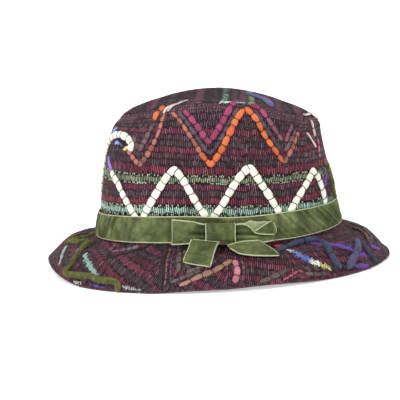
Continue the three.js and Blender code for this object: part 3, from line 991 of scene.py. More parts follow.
def ribbon_band():
    turns = FULL_TURN * np.arange(BAND_COLUMNS)[:, None] / BAND_COLUMNS
    parts = np.linspace(0, 1, BAND_ROWS)[None]
    belly = np.sin(parts * math.pi) ** 0.7
    degrees = np.degrees(turns)
    lift = 0.18 * np.sin(7 * turns + 2.5 * parts) + 0.12 * np.sin(19 * turns - 3 * parts) + 0.3
    shade = 0.5 + 0.1 * np.sin(5 * turns + 1.0) + 0.08 * np.sin(23 * turns + 4 * parts)
    for middle, reach, folds, slant, depth in GATHERS:
        away = half_turn(degrees - middle + slant * RIBBON_WIDTH * (parts - 0.5))
        bent = away + 1.6 * np.sin(away * 0.55 + 3 * parts)
        wave = np.sqrt(np.cos(math.pi * folds * bent / (2 * reach)) ** 2 + 0.03)
        near = np.maximum(np.cos(np.clip(away / reach, -1, 1) * math.pi / 2), 0) ** 0.6
        varied = 0.6 + 0.4 * np.sin(folds * away / reach * 1.7 + 1.7 + 2 * parts)
        lift = lift + (depth * wave * varied + GATHER_BELLY) * near * (0.12 + 0.88 * belly)
        shade = shade + near * (1.3 * wave - 0.8) * (0.5 + 0.5 * varied) * (0.45 + 0.65 * parts)
    first = BAND_EDGES[0, 0]
    around = (degrees - math.degrees(BOW_MIDDLE)) * math.pi / 180 * BOW_RADIUS
    around = (around - first) % (FULL_TURN * BOW_RADIUS) + first
    low, high = (np.interp(around, BAND_EDGES[:, 0], BAND_EDGES[:, edge]) for edge in (1, 2))
    out = BAND_LIFT + RIBBON_THICK / 2 + np.maximum(lift, 0)
    shade = shade + 0.14 * np.abs(2 * parts - 1) ** 4
    for edge in LOOP_SHADOWS:
        shade = shade - SHADOW_DARK * bell(around - edge, SHADOW_REACH)
    points = skin(turns, place_at(low + (high - low) * parts), out)
    return ribbon_piece("ribbon_band_velvet", points, ["ribbon_band"], True, shade=np.clip(shade, 0.05, 1.1))


# The bow lies in layers over the band: each loop's back, its front, then the tails, then the knot
LOOP_BACK = 2.75
LOOP_FRONT = 6.15
KNOT_OUT = 9.2
KNOT_HALF = 11.4
KNOT_HIGH = 16.6
KNOT_LOW = -5.8
KNOT_CURL = 3.4

# Edges of each loop, as pairs of millimetres from the bow's middle and up from the foot of the crown:
# lower and upper edge in front, then behind
LEFT_EDGES = (
    [(11.6, -2.6), (20, -4.4), (30, -5.4), (37, -5.6), (41, -5.0)],
    [(11.6, 17.4), (17, 18.0), (21, 19.6), (30, 20.4), (41, 21.6)],
    [(11.6, 0.3), (25, 0.0), (41, -0.6)],
    [(11.6, 17.0), (24, 19.6), (41, 21.4)],
)
RIGHT_EDGES = (
    [(11.6, -2.4), (18, -5.2), (26, -6.8), (36, -6.0), (44, -3.8)],
    [(11.6, 17.0), (16, 17.4), (20.5, 16.6), (23.5, 14.4), (25.5, 10.8), (29.5, 8.0), (35.5, 6.8),
     (42.5, 8.8)],
    [(11.6, 0.4), (25, 0.0), (45, 0.0)],
    [(11.6, 16.6), (15, 17.6), (20, 17.2), (24, 19.4), (30, 17.6), (37, 17.8), (43, 16.4)],
)

# Creases of each loop's front: height at the knot, slope, reach, depth and how far they run
LEFT_CREASES = [(9.0, 0.05, 1.7, 2.6, 30), (3.6, -0.1, 1.3, 1.0, 24), (14.4, 0.1, 1.3, 1.1, 24)]
RIGHT_CREASES = [(9.6, -0.1, 1.7, 2.8, 44), (2.6, -0.05, 1.4, 1.2, 40), (14.4, 0.0, 1.2, 1.0, 26)]

# Painted shadow along each loop's upper edge, where the fold above shades it: where it starts and is full,
# and how dark
LEFT_HOLLOW_SHADOW = (12, 14, 0.0)
RIGHT_HOLLOW_SHADOW = (17, 23, 0.8)
LEFT_REACH = 38.6
RIGHT_REACH = 42.4
# Column of the left loop's front with a painted highlight along its far fold
LEFT_FOLD_HIGHLIGHT = 43
LOOP_SQUARED = 0.05
LOOP_STEPS = 34
LOOP_ROWS = 17


def edge_line(table, lengths):
    ahead, height = np.array(table).T
    return np.interp(lengths, ahead, height)


def softened(values, times):
    for _ in range(times):
        padded = np.concatenate([2 * values[:1] - values[1:2], values, 2 * values[-1:] - values[-2:-1]])
        values = (padded[:-2] + 2 * padded[1:-1] + padded[2:]) / 4
    return values


def bow_loop(name, way, reach, edges, creases, hollow_shadow, node_name, highlight_column=None):
    """One loop of the bow, from the knot out in front, over at its far end, and back behind."""
    start = KNOT_HALF - 1.0
    bend = (LOOP_FRONT - LOOP_BACK) / 2
    straight = np.linspace(start, reach - bend, LOOP_STEPS)
    angles = np.radians(np.linspace(0, 180, 15)[1:-1])
    lengths = np.concatenate([straight, reach - bend + bend * np.sin(angles), straight[::-1]])[:, None]
    over = (LOOP_FRONT + LOOP_BACK) / 2 + bend * np.cos(angles)
    outs = np.concatenate([np.full(LOOP_STEPS, LOOP_FRONT), over, np.full(LOOP_STEPS, LOOP_BACK)])[:, None]
    steps = np.arange(len(lengths))[:, None]
    behind = smooth(steps, 30, 50)
    lines = [edge_line(edge, lengths) for edge in edges]
    low = softened((1 - behind) * lines[0] + behind * lines[2], 3)
    high = softened((1 - behind) * lines[1] + behind * lines[3], 3)
    parts = np.linspace(0, 1, LOOP_ROWS)[None]
    ups = low + (high - low) * parts
    upright = 1 - LOOP_SQUARED * (1 - parts) * smooth(lengths, start, reach)
    in_front = 1 - smooth(steps, 32, 44)
    out = np.broadcast_to(outs, ups.shape)
    shade = 0.34 + 0.06 * parts - 0.3 * ((1 - smooth(lengths, start, start + 7)) * in_front)
    shade = shade + 0.3 * bell(lengths - reach, 1.2) + 0.14 * np.abs(2 * parts - 1) ** 4
    # Painted shadow just below the upper edge
    near, far, dark = hollow_shadow
    shade = shade - dark * (smooth(lengths, near, far) * in_front) * bell(ups - high + 2.2, 2.0)
    for at, slope, reach_up, depth, far in creases:
        line = at + slope * (lengths - start)
        deep = depth * (in_front * (1 - smooth(lengths, far * 0.5, far)))
        out = out - deep * bell(ups - line, reach_up)
        shade = shade - 0.24 * deep * bell(ups - line, reach_up)
        shade = shade + 0.2 * deep * bell(ups - line + 1.9 * reach_up, reach_up)
    out = out + 0.5 * np.sin(parts * math.pi) * in_front * smooth(lengths, start, start + 14)
    out = out + 0.35 * np.sin(lengths / 4.2) * (parts - 0.4) * in_front
    out = out - 0.8 * ((1 - smooth(lengths, start, start + 9)) * in_front)
    points = skin(turn_at(way * lengths * upright), place_at(ups), out)
    shade = np.clip(shade, 0.02, 1.1)
    if way < 0:
        points = points[::-1]
        shade = shade[::-1]
    return ribbon_piece(name, points, [node_name], shade=shade, highlight_column=highlight_column)


# The right loop's far end, folded over: lower and upper edge as rows of [round, up, out]
FOLD_LOW = [(26, 9.6, 6.6), (30, 7.8, 7.2), (35, 6.7, 7.4), (39, 6.2, 7.2), (42, 6.4, 6.2)]
FOLD_HIGH = [(26.2, 10.2, 6.3), (29.5, 12.6, 6.6), (33.5, 15.2, 6.6), (37.5, 17.2, 6.2), (40.4, 18.0, 5.4)]
FOLD_BULGE = 2.2
FOLD_STEPS = 26
FOLD_ROWS = 9


def soft_lines(table, steps, times):
    """A table's rows drawn out to more steps and softened."""
    table = np.array(table, float)
    fine = np.linspace(0, len(table) - 1, steps)
    drawn = resampled(table.reshape(len(table), -1), np.arange(len(table)), fine)
    return softened(drawn, times).reshape(steps, *table.shape[1:])


def bow_fold():
    fine = np.linspace(0, 1, FOLD_STEPS)[:, None]
    low, high = (soft_lines(edge, FOLD_STEPS, 2)[:, None] for edge in (FOLD_LOW, FOLD_HIGH))
    parts = np.linspace(0, 1, FOLD_ROWS)[None]
    rounds, ups, outs = np.moveaxis(low + (high - low) * parts[..., None], -1, 0)
    belly = np.sin(parts * math.pi) * smooth(fine, 0.3, 1.0)
    points = skin(turn_at(rounds + FOLD_BULGE * belly), place_at(ups), outs + 0.5 * belly)
    shade = 0.5 + 0.2 * parts + 0.16 * bell(fine - 1, 0.1)
    # The pale line at the far end is a painted highlight on the fold
    return ribbon_piece("bow_fold_velvet", points, [], ends=(False, True), shade=shade)


KNOT_STEPS = 30
KNOT_BEND_STEPS = 13
KNOT_ROWS = 19


def bow_knot():
    parts = np.linspace(0, 1, KNOT_STEPS)
    angles = np.radians(np.linspace(0, 180, KNOT_BEND_STEPS)[1:])
    turn_in = (KNOT_OUT - LOOP_BACK) / 2
    front_ups = KNOT_LOW + (KNOT_HIGH - KNOT_LOW) * parts
    curled = KNOT_CURL * (1 - smooth(front_ups, KNOT_LOW, KNOT_LOW + 7.5))
    front_outs = KNOT_OUT + 0.75 * np.sin(parts * math.pi) ** 0.7 - curled
    ups = np.concatenate([front_ups, KNOT_HIGH + 1.3 * np.sin(angles)])[:, None]
    outs = np.concatenate([front_outs, LOOP_BACK + turn_in + turn_in * np.cos(angles)])[:, None]
    across = np.linspace(-1, 1, KNOT_ROWS)[None]
    narrow = 1 - 0.045 * np.sin(np.clip((ups - KNOT_LOW) / (KNOT_HIGH - KNOT_LOW), 0, 1) * math.pi)
    rounds = across * KNOT_HALF * narrow
    shown = np.concatenate([np.ones(KNOT_STEPS), np.linspace(1, 0.2, KNOT_BEND_STEPS - 1)])[:, None]
    fold = 0.32 * np.cos(across * 8.2 + 0.05 * ups) * bell(np.abs(across) - 0.35, 0.5)
    out = outs + fold * shown - 0.9 * (np.abs(across) ** 3) * shown
    points = skin(turn_at(rounds), place_at(ups), out)
    shade = 0.58 + 0.5 * fold * shown - 0.22 * (np.abs(across) ** 3) + 0.1 * bell(ups - KNOT_HIGH, 3)
    return ribbon_piece("bow_knot_velvet", points[::-1], ["bow_knot"], shade=shade[::-1])


# The tails, from under the knot to their cut ends, as pairs of edges of [round, up, out]
LEFT_TAIL = [
    ([-21.6, 2.0, 8.5], [-1, -5.6, 8.2]), ([-21.8, -1.6, 8.5], [-2, -8.6, 7.9]),
    ([-22, -6.4, 7.9], [-3.2, -12.2, 6.4]), ([-22.4, -12, 4.6], [-4.4, -17.2, 4.2]),
    ([-22.8, -19, 3.0], [-5.6, -23.8, 3.0]), ([-23.3, -26, 2.4], [-6.8, -31, 2.4]),
]
RIGHT_TAIL = [
    ([6.0, -13.2, 5.2], [4.4, -11.2, 6.6]), ([11.2, -20.2, 3.2], [9.4, -8.2, 7.4]),
    ([18.6, -22.8, 2.8], [16, -6.0, 7.8]), ([26.8, -24.0, 2.6], [22.4, -4.4, 7.8]),
    ([35.8, -25.0, 2.4], [28.6, -3.2, 7.8]),
]
TAIL_STEPS = 36
TAIL_ROWS = 15


def bow_tail(name, rows, node_name, curl, ends, lit):
    fine = np.linspace(0, len(rows) - 1, TAIL_STEPS)[:, None]
    lines = soft_lines(rows, TAIL_STEPS, 4)
    parts = np.linspace(0, 1, TAIL_ROWS)[None]
    rounds, ups, outs = np.moveaxis(lines[:, :1] + (lines[:, 1:] - lines[:, :1]) * parts[..., None], -1, 0)
    out = outs + curl * (2 * parts - 1) ** 2 * np.linspace(0.2, 1, TAIL_STEPS)[:, None]
    out = out + 0.22 * np.sin(fine * 2.1) * np.sin(parts * 5.0)
    points = skin(turn_at(rounds), place_at(ups), out)
    steps = np.arange(TAIL_STEPS)[:, None]
    shade = lit + 0.12 * smooth(steps, 0, TAIL_STEPS * 0.45) + 0.2 * np.abs(2 * parts - 1) ** 3
    return ribbon_piece(name, points, [node_name], ends=ends, shade=shade)


# Camera, at the height and angle of a person who looks a little down on the hat
CAMERA_PLACE = Vector((0.03056, -1.150, 0.23977))
CAMERA_TARGET = Vector((-0.01340, 0.0, 0.05308))
CAMERA_ROLL = math.radians(-3.278)
CAMERA_LENS = 122.59
CAMERA_SENSOR = 36.0
CAMERA_NEAR = 0.01
CAMERA_FAR = 50


def add_camera():
    forward = (CAMERA_TARGET - CAMERA_PLACE).normalized()
    level = forward.cross(Vector((0, 0, 1))).normalized()
    upright = level.cross(forward)
    right = level * math.cos(CAMERA_ROLL) + upright * math.sin(CAMERA_ROLL)
    above = upright * math.cos(CAMERA_ROLL) - level * math.sin(CAMERA_ROLL)
    data = bpy.data.cameras.new("camera")
    data.lens = CAMERA_LENS
    data.sensor_width = CAMERA_SENSOR
    data.clip_start = CAMERA_NEAR
    data.clip_end = CAMERA_FAR
    camera = bpy.data.objects.new("camera", data)
    turn = Matrix((right, above, -forward)).transposed().to_4x4()
    camera.matrix_world = Matrix.Translation(CAMERA_PLACE) @ turn
    bpy.context.scene.collection.objects.link(camera)
    bpy.context.scene.camera = camera


# Floor, a shallow bowl whose rim rises far behind the hat on every side: sizes in metres
FLOOR_MIDDLE = 0.02
FLOOR_FLAT = 2.2
FLOOR_BEND = 0.9
FLOOR_HIGH = 1.9
FLOOR_STEPS = 12
FLOOR_COLUMNS = 96
FLOOR_GLOW = 0.45


def add_floor():
    bends = np.linspace(0.1, math.pi / 2, FLOOR_STEPS)
    radii = np.concatenate([np.linspace(FLOOR_MIDDLE, FLOOR_FLAT, FLOOR_STEPS),
                            FLOOR_FLAT + FLOOR_BEND * np.sin(bends), [FLOOR_FLAT + FLOOR_BEND]])[None]
    rises = np.concatenate([np.zeros(FLOOR_STEPS), FLOOR_BEND - FLOOR_BEND * np.cos(bends), [FLOOR_HIGH]])
    angles = np.linspace(0, FULL_TURN, FLOOR_COLUMNS, endpoint=False)[:, None]
    points = np.stack(np.broadcast_arrays(radii * np.cos(angles), radii * np.sin(angles), rises[None]), -1)
    faces = grid_quads(FLOOR_COLUMNS, len(rises), True, True).tolist()
    faces.append([index * len(rises) for index in range(FLOOR_COLUMNS)])
    mesh = bpy.data.meshes.new("floor")
    mesh.from_pydata(points.reshape(-1, 3).tolist(), [], faces)
    mesh.polygons.foreach_set("use_smooth", np.ones(len(faces), bool))
    floor = bpy.data.objects.new("floor", mesh)
    bpy.context.scene.collection.objects.link(floor)
    tree = Tree("floor_paper")
    grain = tree.noise(tree.solid(), 300.0, 2.0)
    base = tree.mixed(grain, PAPER_LOW, PAPER_HIGH)
    shader = tree.finish(base, (grain, 0.02, 0.0002), 0.9, 0.0, 0.5, WHITE, 0.1)
    shader.inputs["Emission Color"].default_value = WHITE
    shader.inputs["Emission Strength"].default_value = FLOOR_GLOW
    mesh.materials.append(tree.material)


# Lights: name, place, target, size and power
LIGHTS = [
    ("overhead", (-0.5, -0.5, 2.2), (0, 0, 0.05), 1.1, 23),
    ("front_left", (-1.2, -1.7, 1.6), (0, 0, 0.08), 0.7, 15),
    ("front_right", (1.6, -1.5, 1.0), (0, 0, 0.08), 1.0, 3),
]
SKY_POWER = 0.44


def add_lights():
    world = bpy.data.worlds.new("studio")
    world.use_nodes = True
    background = world.node_tree.nodes["Background"]
    background.inputs[0].default_value = WHITE
    background.inputs[1].default_value = SKY_POWER
    bpy.context.scene.world = world
    for name, place, target, size, power in LIGHTS:
        data = bpy.data.lights.new(name, "AREA")
        data.shape = "DISK"
        data.size = size
        data.energy = power
        lamp = bpy.data.objects.new(name, data)
        lamp.location = place
        lamp.rotation_euler = (Vector(target) - Vector(place)).to_track_quat("-Z", "Y").to_euler()
        bpy.context.scene.collection.objects.link(lamp)
    bpy.context.scene.view_settings.view_transform = "Standard"


add_camera()
add_floor()
add_lights()

crown_weave = woven_material("crown_weave", [row[1] for row in CROWN_ROWS])
tip_weave = woven_material("tip_weave", [row[1] for row in TIP_ROWS])
brim_weave = woven_material("brim_weave", BRIM_ROWS, repeat=True)
lining = woven_material("lining_weave", [PLUM, CHARCOAL], repeat=True)
velvet = velvet_material()
backing = backing_material("ribbon_back", BACKING, 9.0, 9.0)
# The selvedge material also draws the painted highlights on folds
selvedge_and_highlight = backing_material("ribbon_selvedge_and_highlight", SELVEDGE_AND_HIGHLIGHT, 4.0, 7.0)
RIBBON_LOOKS = [velvet, backing, selvedge_and_highlight]

crown_side([crown_weave, lining])
crown_tip([tip_weave, lining])
brim([brim_weave])
band = ribbon_band()
left_loop = bow_loop("bow_loop_left_velvet", -1, LEFT_REACH, LEFT_EDGES, LEFT_CREASES, LEFT_HOLLOW_SHADOW,
                     "bow_loop_left", LEFT_FOLD_HIGHLIGHT)
right_loop = bow_loop("bow_loop_right_velvet", 1, RIGHT_REACH, RIGHT_EDGES, RIGHT_CREASES, RIGHT_HOLLOW_SHADOW,
                      "bow_loop_right")
knot = bow_knot()
right_fold = bow_fold()
# The left tail's upper end has a painted highlight on its fold; both tails' lower ends show cut threads
left_tail = bow_tail("bow_tail_left_velvet", LEFT_TAIL, "bow_tail_left", 0.35, (True, True), 0.5)
right_tail = bow_tail("bow_tail_right_velvet", RIGHT_TAIL, "bow_tail_right", 0.3, (False, True), 0.3)

# White tape: a zigzag all round, from the front quarter by the back and up into a loop at the front
TAPE_WIDTH = 6.1
NEAR_TAPE = [
    (-106, 56.5), (-104, 54), (-94.4, 48.5), (-86.4, 39.7), (-78.7, 31), (-75.3, 26.6), (-72.0, 22.0),
    (-69.2, 17.0), (-66.4, 22.0), (-62.2, 28.6), (-57.6, 35.6), (-51.6, 45.1), (-44.7, 55.2), (-39, 59.9),
    (-31.7, 51.2), (-24.1, 39), (-17.6, 29.2), (-12.8, 24.4), (-8.4, 17.0), (-4.0, 24.4), (0.2, 29.0),
    (4.6, 35.2), (10.7, 45.1), (16.8, 53.2), (23.7, 59.9), (26, 60.5), (49.2, 23), (53.4, 12), (58.4, 23),
    (65.3, 31), (71.1, 36.8), (79.5, 45.4), (85.6, 51.8), (90.2, 45.6), (94, 34.8), (96.7, 24.9), (99, 15),
]
FAR_TAPE = [
    (124, 14), (146, 52), (170, 14), (197, 55), (224, 16), (253, 58), (282, 16), (311, 58), (340, 16),
    (369, 58), (396, 16), (402, 38), (409, 54), (416, 64), (423, 71.5), (431, 78), (441, 84), (452, 87),
    (462, 84.5), (469.5, 78.5), (468, 71),
]
tape = Build()
for seed, path in ((3, NEAR_TAPE), (203, FAR_TAPE)):
    couched(tape, [(around, up, TAPE_WIDTH) for around, up in path], height=2.6, segment=7.6, pinch=0.56,
            fullness=0.3, seed=seed, step=0.6, rounding=2.0, under=21.5, sink=0.12)
tape.make("tape_white", [yarn_material("yarn_ivory", IVORY, 0.06, 0.15)], "woven_cloth")


def lay(target, seed, look, height, segment, pinch, tied, path):
    couched(target, path, height, segment, pinch, look=look, seed=seed, tied=tied)


# Triple zigzag round the back of the crown. Each V is given from its foot.
ORANGE_V = [
    (-32, 56), (-28, 44), (-22, 31), (-16, 22), (-11, 13), (-4, 3), (0, 0), (5, 6), (10, 14), (15, 24),
    (19, 34), (23, 43), (29, 55),
]
SLATE_V = [
    (-31, 53), (-23, 41), (-17, 31), (-10, 20), (-4, 11), (0, 9), (5, 15), (10, 24), (15, 34), (20, 45),
    (25, 58),
]
MAGENTA_V = [(-25, 55), (-19, 44), (-12, 34), (-6, 24), (-2, 19), (2, 24), (8, 34), (13, 44), (18, 59)]
FAR_FEET = [182, 242, 300, 352]
FAR_UP = 62


def far_zigzag():
    """Rows of yarns, with every second V brighter and thicker."""
    rows = []
    for number, foot in enumerate(FAR_FEET):
        bright = number % 2
        for target, seed, height, segment, pinch, width, shape in (
            (orange if bright else copper, 20, 2.4, 8.0, 0.5, 4.4 if bright else 3.4, ORANGE_V),
            (slate, 30, 1.8, 9.0, 0.6, 3.2, SLATE_V),
            (magenta if bright else mauve, 40, 2.0, 8.4, 0.55, 3.4, MAGENTA_V),
        ):
            path = [(foot + around, FAR_UP + up, width) for around, up in shape]
            rows.append((target, seed + number, 0, height, segment, pinch, TIED, path))
    return rows


# Zigzags of the crown's near side: piece, seed, look, height, segment, pinch, tied or free, and path of
# [round, up, width]. The tables of smaller yarns have the same columns without the piece.
orange, copper, slate, magenta, mauve = (Build() for _ in range(5))
ORANGE_ZIGZAG = [
    (copper, 5, 1, 2.2, 5.6, 0.42, TIED, [
        (-86, 73, 3.6), (-82, 70, 4.2), (-77, 66, 4.6), (-71, 62, 4.4), (-65, 68, 4.4), (-60, 77, 4.4),
        (-57, 86, 3.8)]),
    (copper, 205, 0, 1.8, 7.0, 0.45, TIED, [
        (-57, 86, 3.2), (-54, 97, 3.2), (-53, 108, 2.8), (-51, 118, 2.4)]),
    (orange, 206, 0, 2.6, 8.6, 0.45, TIED, [(-62, 108, 4.6), (-61, 116, 5.6), (-58, 125, 4.6)]),
    (orange, 207, 0, 2.4, 9.0, 0.45, TIED, [(-58, 126, 4.6), (-56, 134, 5.8), (-55, 150, 4.6)]),
    (copper, 6, 0, 2.0, 6.4, 0.42, TIED, [
        (-45, 119, 2.6), (-36, 105, 3.0), (-30, 94, 3.2), (-24, 85, 3.4), (-20, 78, 3.8), (-17, 73, 4.0)]),
    (orange, 7, 0, 2.8, 7.8, 0.42, TIED, [
        (-18, 74, 4.0), (-13, 68, 4.6), (-8, 63, 5.0), (-3, 69, 5.4), (2, 77, 5.6), (7, 88, 5.6),
        (11, 97, 5.4), (15, 107, 5.2), (21, 118, 4.8), (25, 122, 4.6), (29, 116, 5.0),
        (34, 106, 4.8), (38, 94, 4.6), (43, 83, 4.4), (49, 73, 4.0), (53, 66, 3.6), (56, 62, 3.2)]),
    (copper, 8, 1, 2.0, 6.4, 0.42, TIED, [
        (56, 61, 3.6), (61, 68, 4.0), (66, 75, 4.0), (70, 83, 3.4), (76, 93, 3.0)]),
    (slate, 208, 1, 1.8, 7.4, 0.5, TIED, [(58, 72, 3.6), (63, 80, 3.8), (68, 88, 3.6), (73, 97, 2.8)]),
    (mauve, 209, 0, 1.8, 7.4, 0.5, TIED, [(59, 81, 3.2), (63, 92, 3.4), (71, 106, 3.0)]),
]
INNER_ZIGZAG = [
    (slate, 9, 0, 1.9, 7.6, 0.5, TIED, [
        (-39, 117, 2.8), (-31, 105, 3.2), (-25, 95, 3.4), (-18, 84, 3.4), (-12, 75, 3.2), (-8, 73, 3.2),
        (-3, 79, 3.4), (2, 88, 3.5), (7, 98, 3.5), (12, 109, 3.4), (17, 121, 3.0)]),
    (slate, 10, 0, 1.9, 7.6, 0.5, TIED, [
        (33, 119, 3.0), (38, 106, 3.3), (43, 94, 3.3), (49, 82, 3.3), (54, 73, 3.1)]),
    (magenta, 11, 0, 2.4, 7.4, 0.42, TIED, [
        (-34, 120, 3.6), (-27, 108, 4.6), (-20, 98, 5.0), (-14, 88, 4.8), (-10, 83, 4.6), (-6, 88, 5.0),
        (0, 98, 5.2), (5, 108, 5.2), (10, 122, 5.0), (13, 134, 5.2), (17, 143, 5.0)]),
    (magenta, 211, 0, 2.2, 7.4, 0.42, TIED, [
        (29, 143, 4.0), (35, 134, 4.0), (39, 124, 4.2), (43, 112, 4.2)]),
    (mauve, 12, 0, 2.0, 7.0, 0.45, TIED, [(43, 112, 3.8), (48, 100, 3.8), (53, 89, 3.8), (56, 83, 3.4)]),
    (slate, 13, 1, 1.6, 6.4, 0.5, TIED, [
        (-82, 88, 3.4), (-77, 79, 4.4), (-72, 74, 4.6), (-68, 82, 4.8), (-65, 92, 4.4), (-63, 103, 3.4)]),
]
for row in ORANGE_ZIGZAG + far_zigzag() + INNER_ZIGZAG:
    lay(*row)

# Pieces of the zigzags, and the name, colour and unevenness of each one's yarns
ZIGZAG_PIECES = [
    ("yarn_orange", orange, [("yarn_orange", ORANGE, 0.22)]),
    ("yarn_copper", copper, [("yarn_copper", COPPER, 0.4), ("yarn_brown_copper", BROWN_COPPER, 0.4)]),
    ("yarn_slate", slate, [("yarn_slate", SLATE_DARK, 0.3), ("yarn_brown_grey", BROWN_GREY, 0.3)]),
    ("yarn_magenta", magenta, [("yarn_magenta", MAGENTA, 0.25)]),
    ("yarn_mauve", mauve, [("yarn_mauve", MAUVE, 0.3)]),
]
for name, target, looks in ZIGZAG_PIECES:
    target.make(name, [yarn_material(*look) for look in looks], "woven_cloth")


def across_top(stops, count=24):
    """A path on the top from places in millimetres back from the middle and away from the bow."""
    stops = np.array(stops, float)
    marks = np.arange(len(stops))
    ahead, sideways, widths = resampled(stops, marks, np.linspace(0, marks[-1], count)).T
    turns = np.unwrap(np.arctan2(sideways, ahead))
    places = tip_place(turns, np.hypot(ahead, sideways))
    return np.stack([(turns - BOW_MIDDLE) * BOW_RADIUS, (places - BASE) * WALL_LENGTH, widths], 1)


# Yarn over the top and round the back corner
over_top = Build()
PERIWINKLE_STOPS = [
    (45, -53, 5.6), (44, -40, 6.6), (42.5, -24, 6.6), (40.5, -8, 6.2), (37, 6, 5.6), (31, 18, 4.8),
    (25, 26, 3.6),
]
TOP_YARNS = [
    (over_top, 50, 0, 1.6, 9.0, 0.6, FREE, [
        (-49, 121, 2.4), (-47, 134, 3.2), (-44, 148, 3.6), (-42, 165, 3.2), (-44, 190, 2.4)]),
    (over_top, 250, 0, 1.5, 9.0, 0.6, FREE, [(-53, 118, 2.4), (-51, 130, 2.8), (-48, 141, 2.4)]),
    (over_top, 51, 1, 3.6, 22.0, 0.8, FREE, across_top(PERIWINKLE_STOPS)),
    (over_top, 52, 0, 1.8, 6.8, 0.45, TIED, [
        (99, 83, 2.8), (98, 92, 3.4), (98, 101, 3.6), (98, 114, 3.4), (99, 127, 3.0)]),
    (over_top, 53, 0, 1.4, 12.0, 0.7, FREE, [
        (93, 152, 2.4), (108, 158, 2.8), (124, 160, 2.8), (145, 152, 2.2)]),
    (over_top, 54, 0, 1.2, 8.0, 0.6, FREE, [(86, 92, 1.6), (89, 85, 1.8), (93, 77, 1.8), (97, 70, 1.6)]),
    (over_top, 55, 2, 1.4, 6.0, 0.5, TIED, [
        (102, 80, 2.4), (103, 74, 2.8), (101, 66, 2.8), (100, 60, 2.2)]),
]
for row in TOP_YARNS:
    lay(*row)
TOP_LOOKS = [("yarn_cream_pink", CREAM_PINK), ("yarn_periwinkle", PERIWINKLE), ("yarn_soft_pink", PINK)]
over_top.make("yarn_over_top", [yarn_material(name, tone, 0.2) for name, tone in TOP_LOOKS], "woven_cloth")

# Fuzzy moss green yarn on the front of the brim and up the back of the crown: seed, height, segment,
# pinch, unevenness, rounding, number and length of its hairs, and path
MOSS_YARNS = [
    (60, 2.0, 14, 0.9, 0.25, 1.5, 1600, 1.5, [
        (-156, -5, 1.5), (-146, -9, 1.8), (-137, -13, 1.9), (-128, -22, 1.9)]),
    (61, 3.6, 12, 0.88, 0.3, 2.5, 11000, 1.6, [
        (-127, -25, 2.9), (-120, -17, 3.2), (-122, -9, 3.1), (-124, -6, 2.8), (-112, -14, 2.6),
        (-104, -21, 2.4), (-101, -30, 2.3), (-101, -38, 2.4), (-103, -43, 2.7), (-99, -44, 3.1),
        (-92, -42, 3.5), (-81, -39, 3.5), (-73, -40, 3.1), (-65, -39.5, 3.2), (-61, -40.5, 3.1),
        (-59, -45, 2.9), (-58, -47.5, 2.7)]),
    (62, 2.4, 12, 0.9, 0.2, 1.5, 1800, 1.5, [
        (107, 56, 1.9), (111, 52, 2.1), (116, 44, 2.1), (117, 34, 2.1), (120, 26, 1.9), (124, 23.5, 1.6)]),
    (63, 3.0, 12, 0.88, 0.26, 2.5, 5600, 1.6, [
        (262, -6, 2.4), (276, -20, 2.6), (268, -38, 2.6), (290, -40, 2.9), (318, -41, 2.7), (330, -24, 2.4),
        (344, -8, 2.1)]),
]
MOSS_HAIR = 0.2
moss = Build()
for seed, height, segment, pinch, uneven, rounding, count, length, path in MOSS_YARNS:
    couched(moss, path, height, segment, pinch, seed=seed, tied=FREE, uneven=uneven, rounding=rounding,
            fuzz=(count, length, MOSS_HAIR))
moss.make("yarn_moss", [yarn_material("yarn_moss", MOSS, 0.5, 0.3, FUZZY)], "woven_cloth")

# Thick slate yarn on the back of the brim: seed, look, height, segment, pinch, rounding and path
THICK_YARNS = [
    (70, 0, 4.6, 19, 0.72, 3, [
        (34, -17, 5.4), (38, -15, 5.8), (47, -10, 6.0), (58, -5.5, 6.0), (66, -4, 5.8), (74, -5, 6.0),
        (76, -12, 6.0), (72, -21, 6.4), (69, -28, 6.4), (68.5, -36, 6.4), (70, -43, 5.6)]),
    (71, 1, 4.6, 17, 0.74, 3, [
        (99, -21, 5.6), (96, -25, 6.4), (89, -31, 6.8), (80, -38, 6.8), (74, -44, 5.8)]),
    (72, 0, 3.6, 11, 0.74, 2, [(99, -25, 4.4), (98, -33, 4.8), (98, -40, 4.8), (98, -46, 4.4)]),
    (73, 0, 4.2, 18, 0.72, 3, [(178, -8, 5.6), (186, -22, 6.0), (180, -38, 6.0)]),
    (74, 1, 4.2, 18, 0.72, 3, [
        (196, -40, 5.6), (206, -24, 6.0), (222, -10, 5.6), (240, -22, 6.0), (244, -40, 5.6)]),
]
THICK_FULLNESS = 0.35
thick_slate = Build()
for seed, look, height, segment, pinch, rounding, path in THICK_YARNS:
    couched(thick_slate, path, height, segment, pinch, THICK_FULLNESS, look, seed, rounding=rounding)
THICK_LOOKS = [("yarn_thick_slate", SLATE), ("yarn_thick_lavender", LAVENDER)]
thick_materials = [yarn_material(name, tone, 0.15, 0.5, FUZZY) for name, tone in THICK_LOOKS]
thick_slate.make("yarn_thick_slate", thick_materials, "woven_cloth")

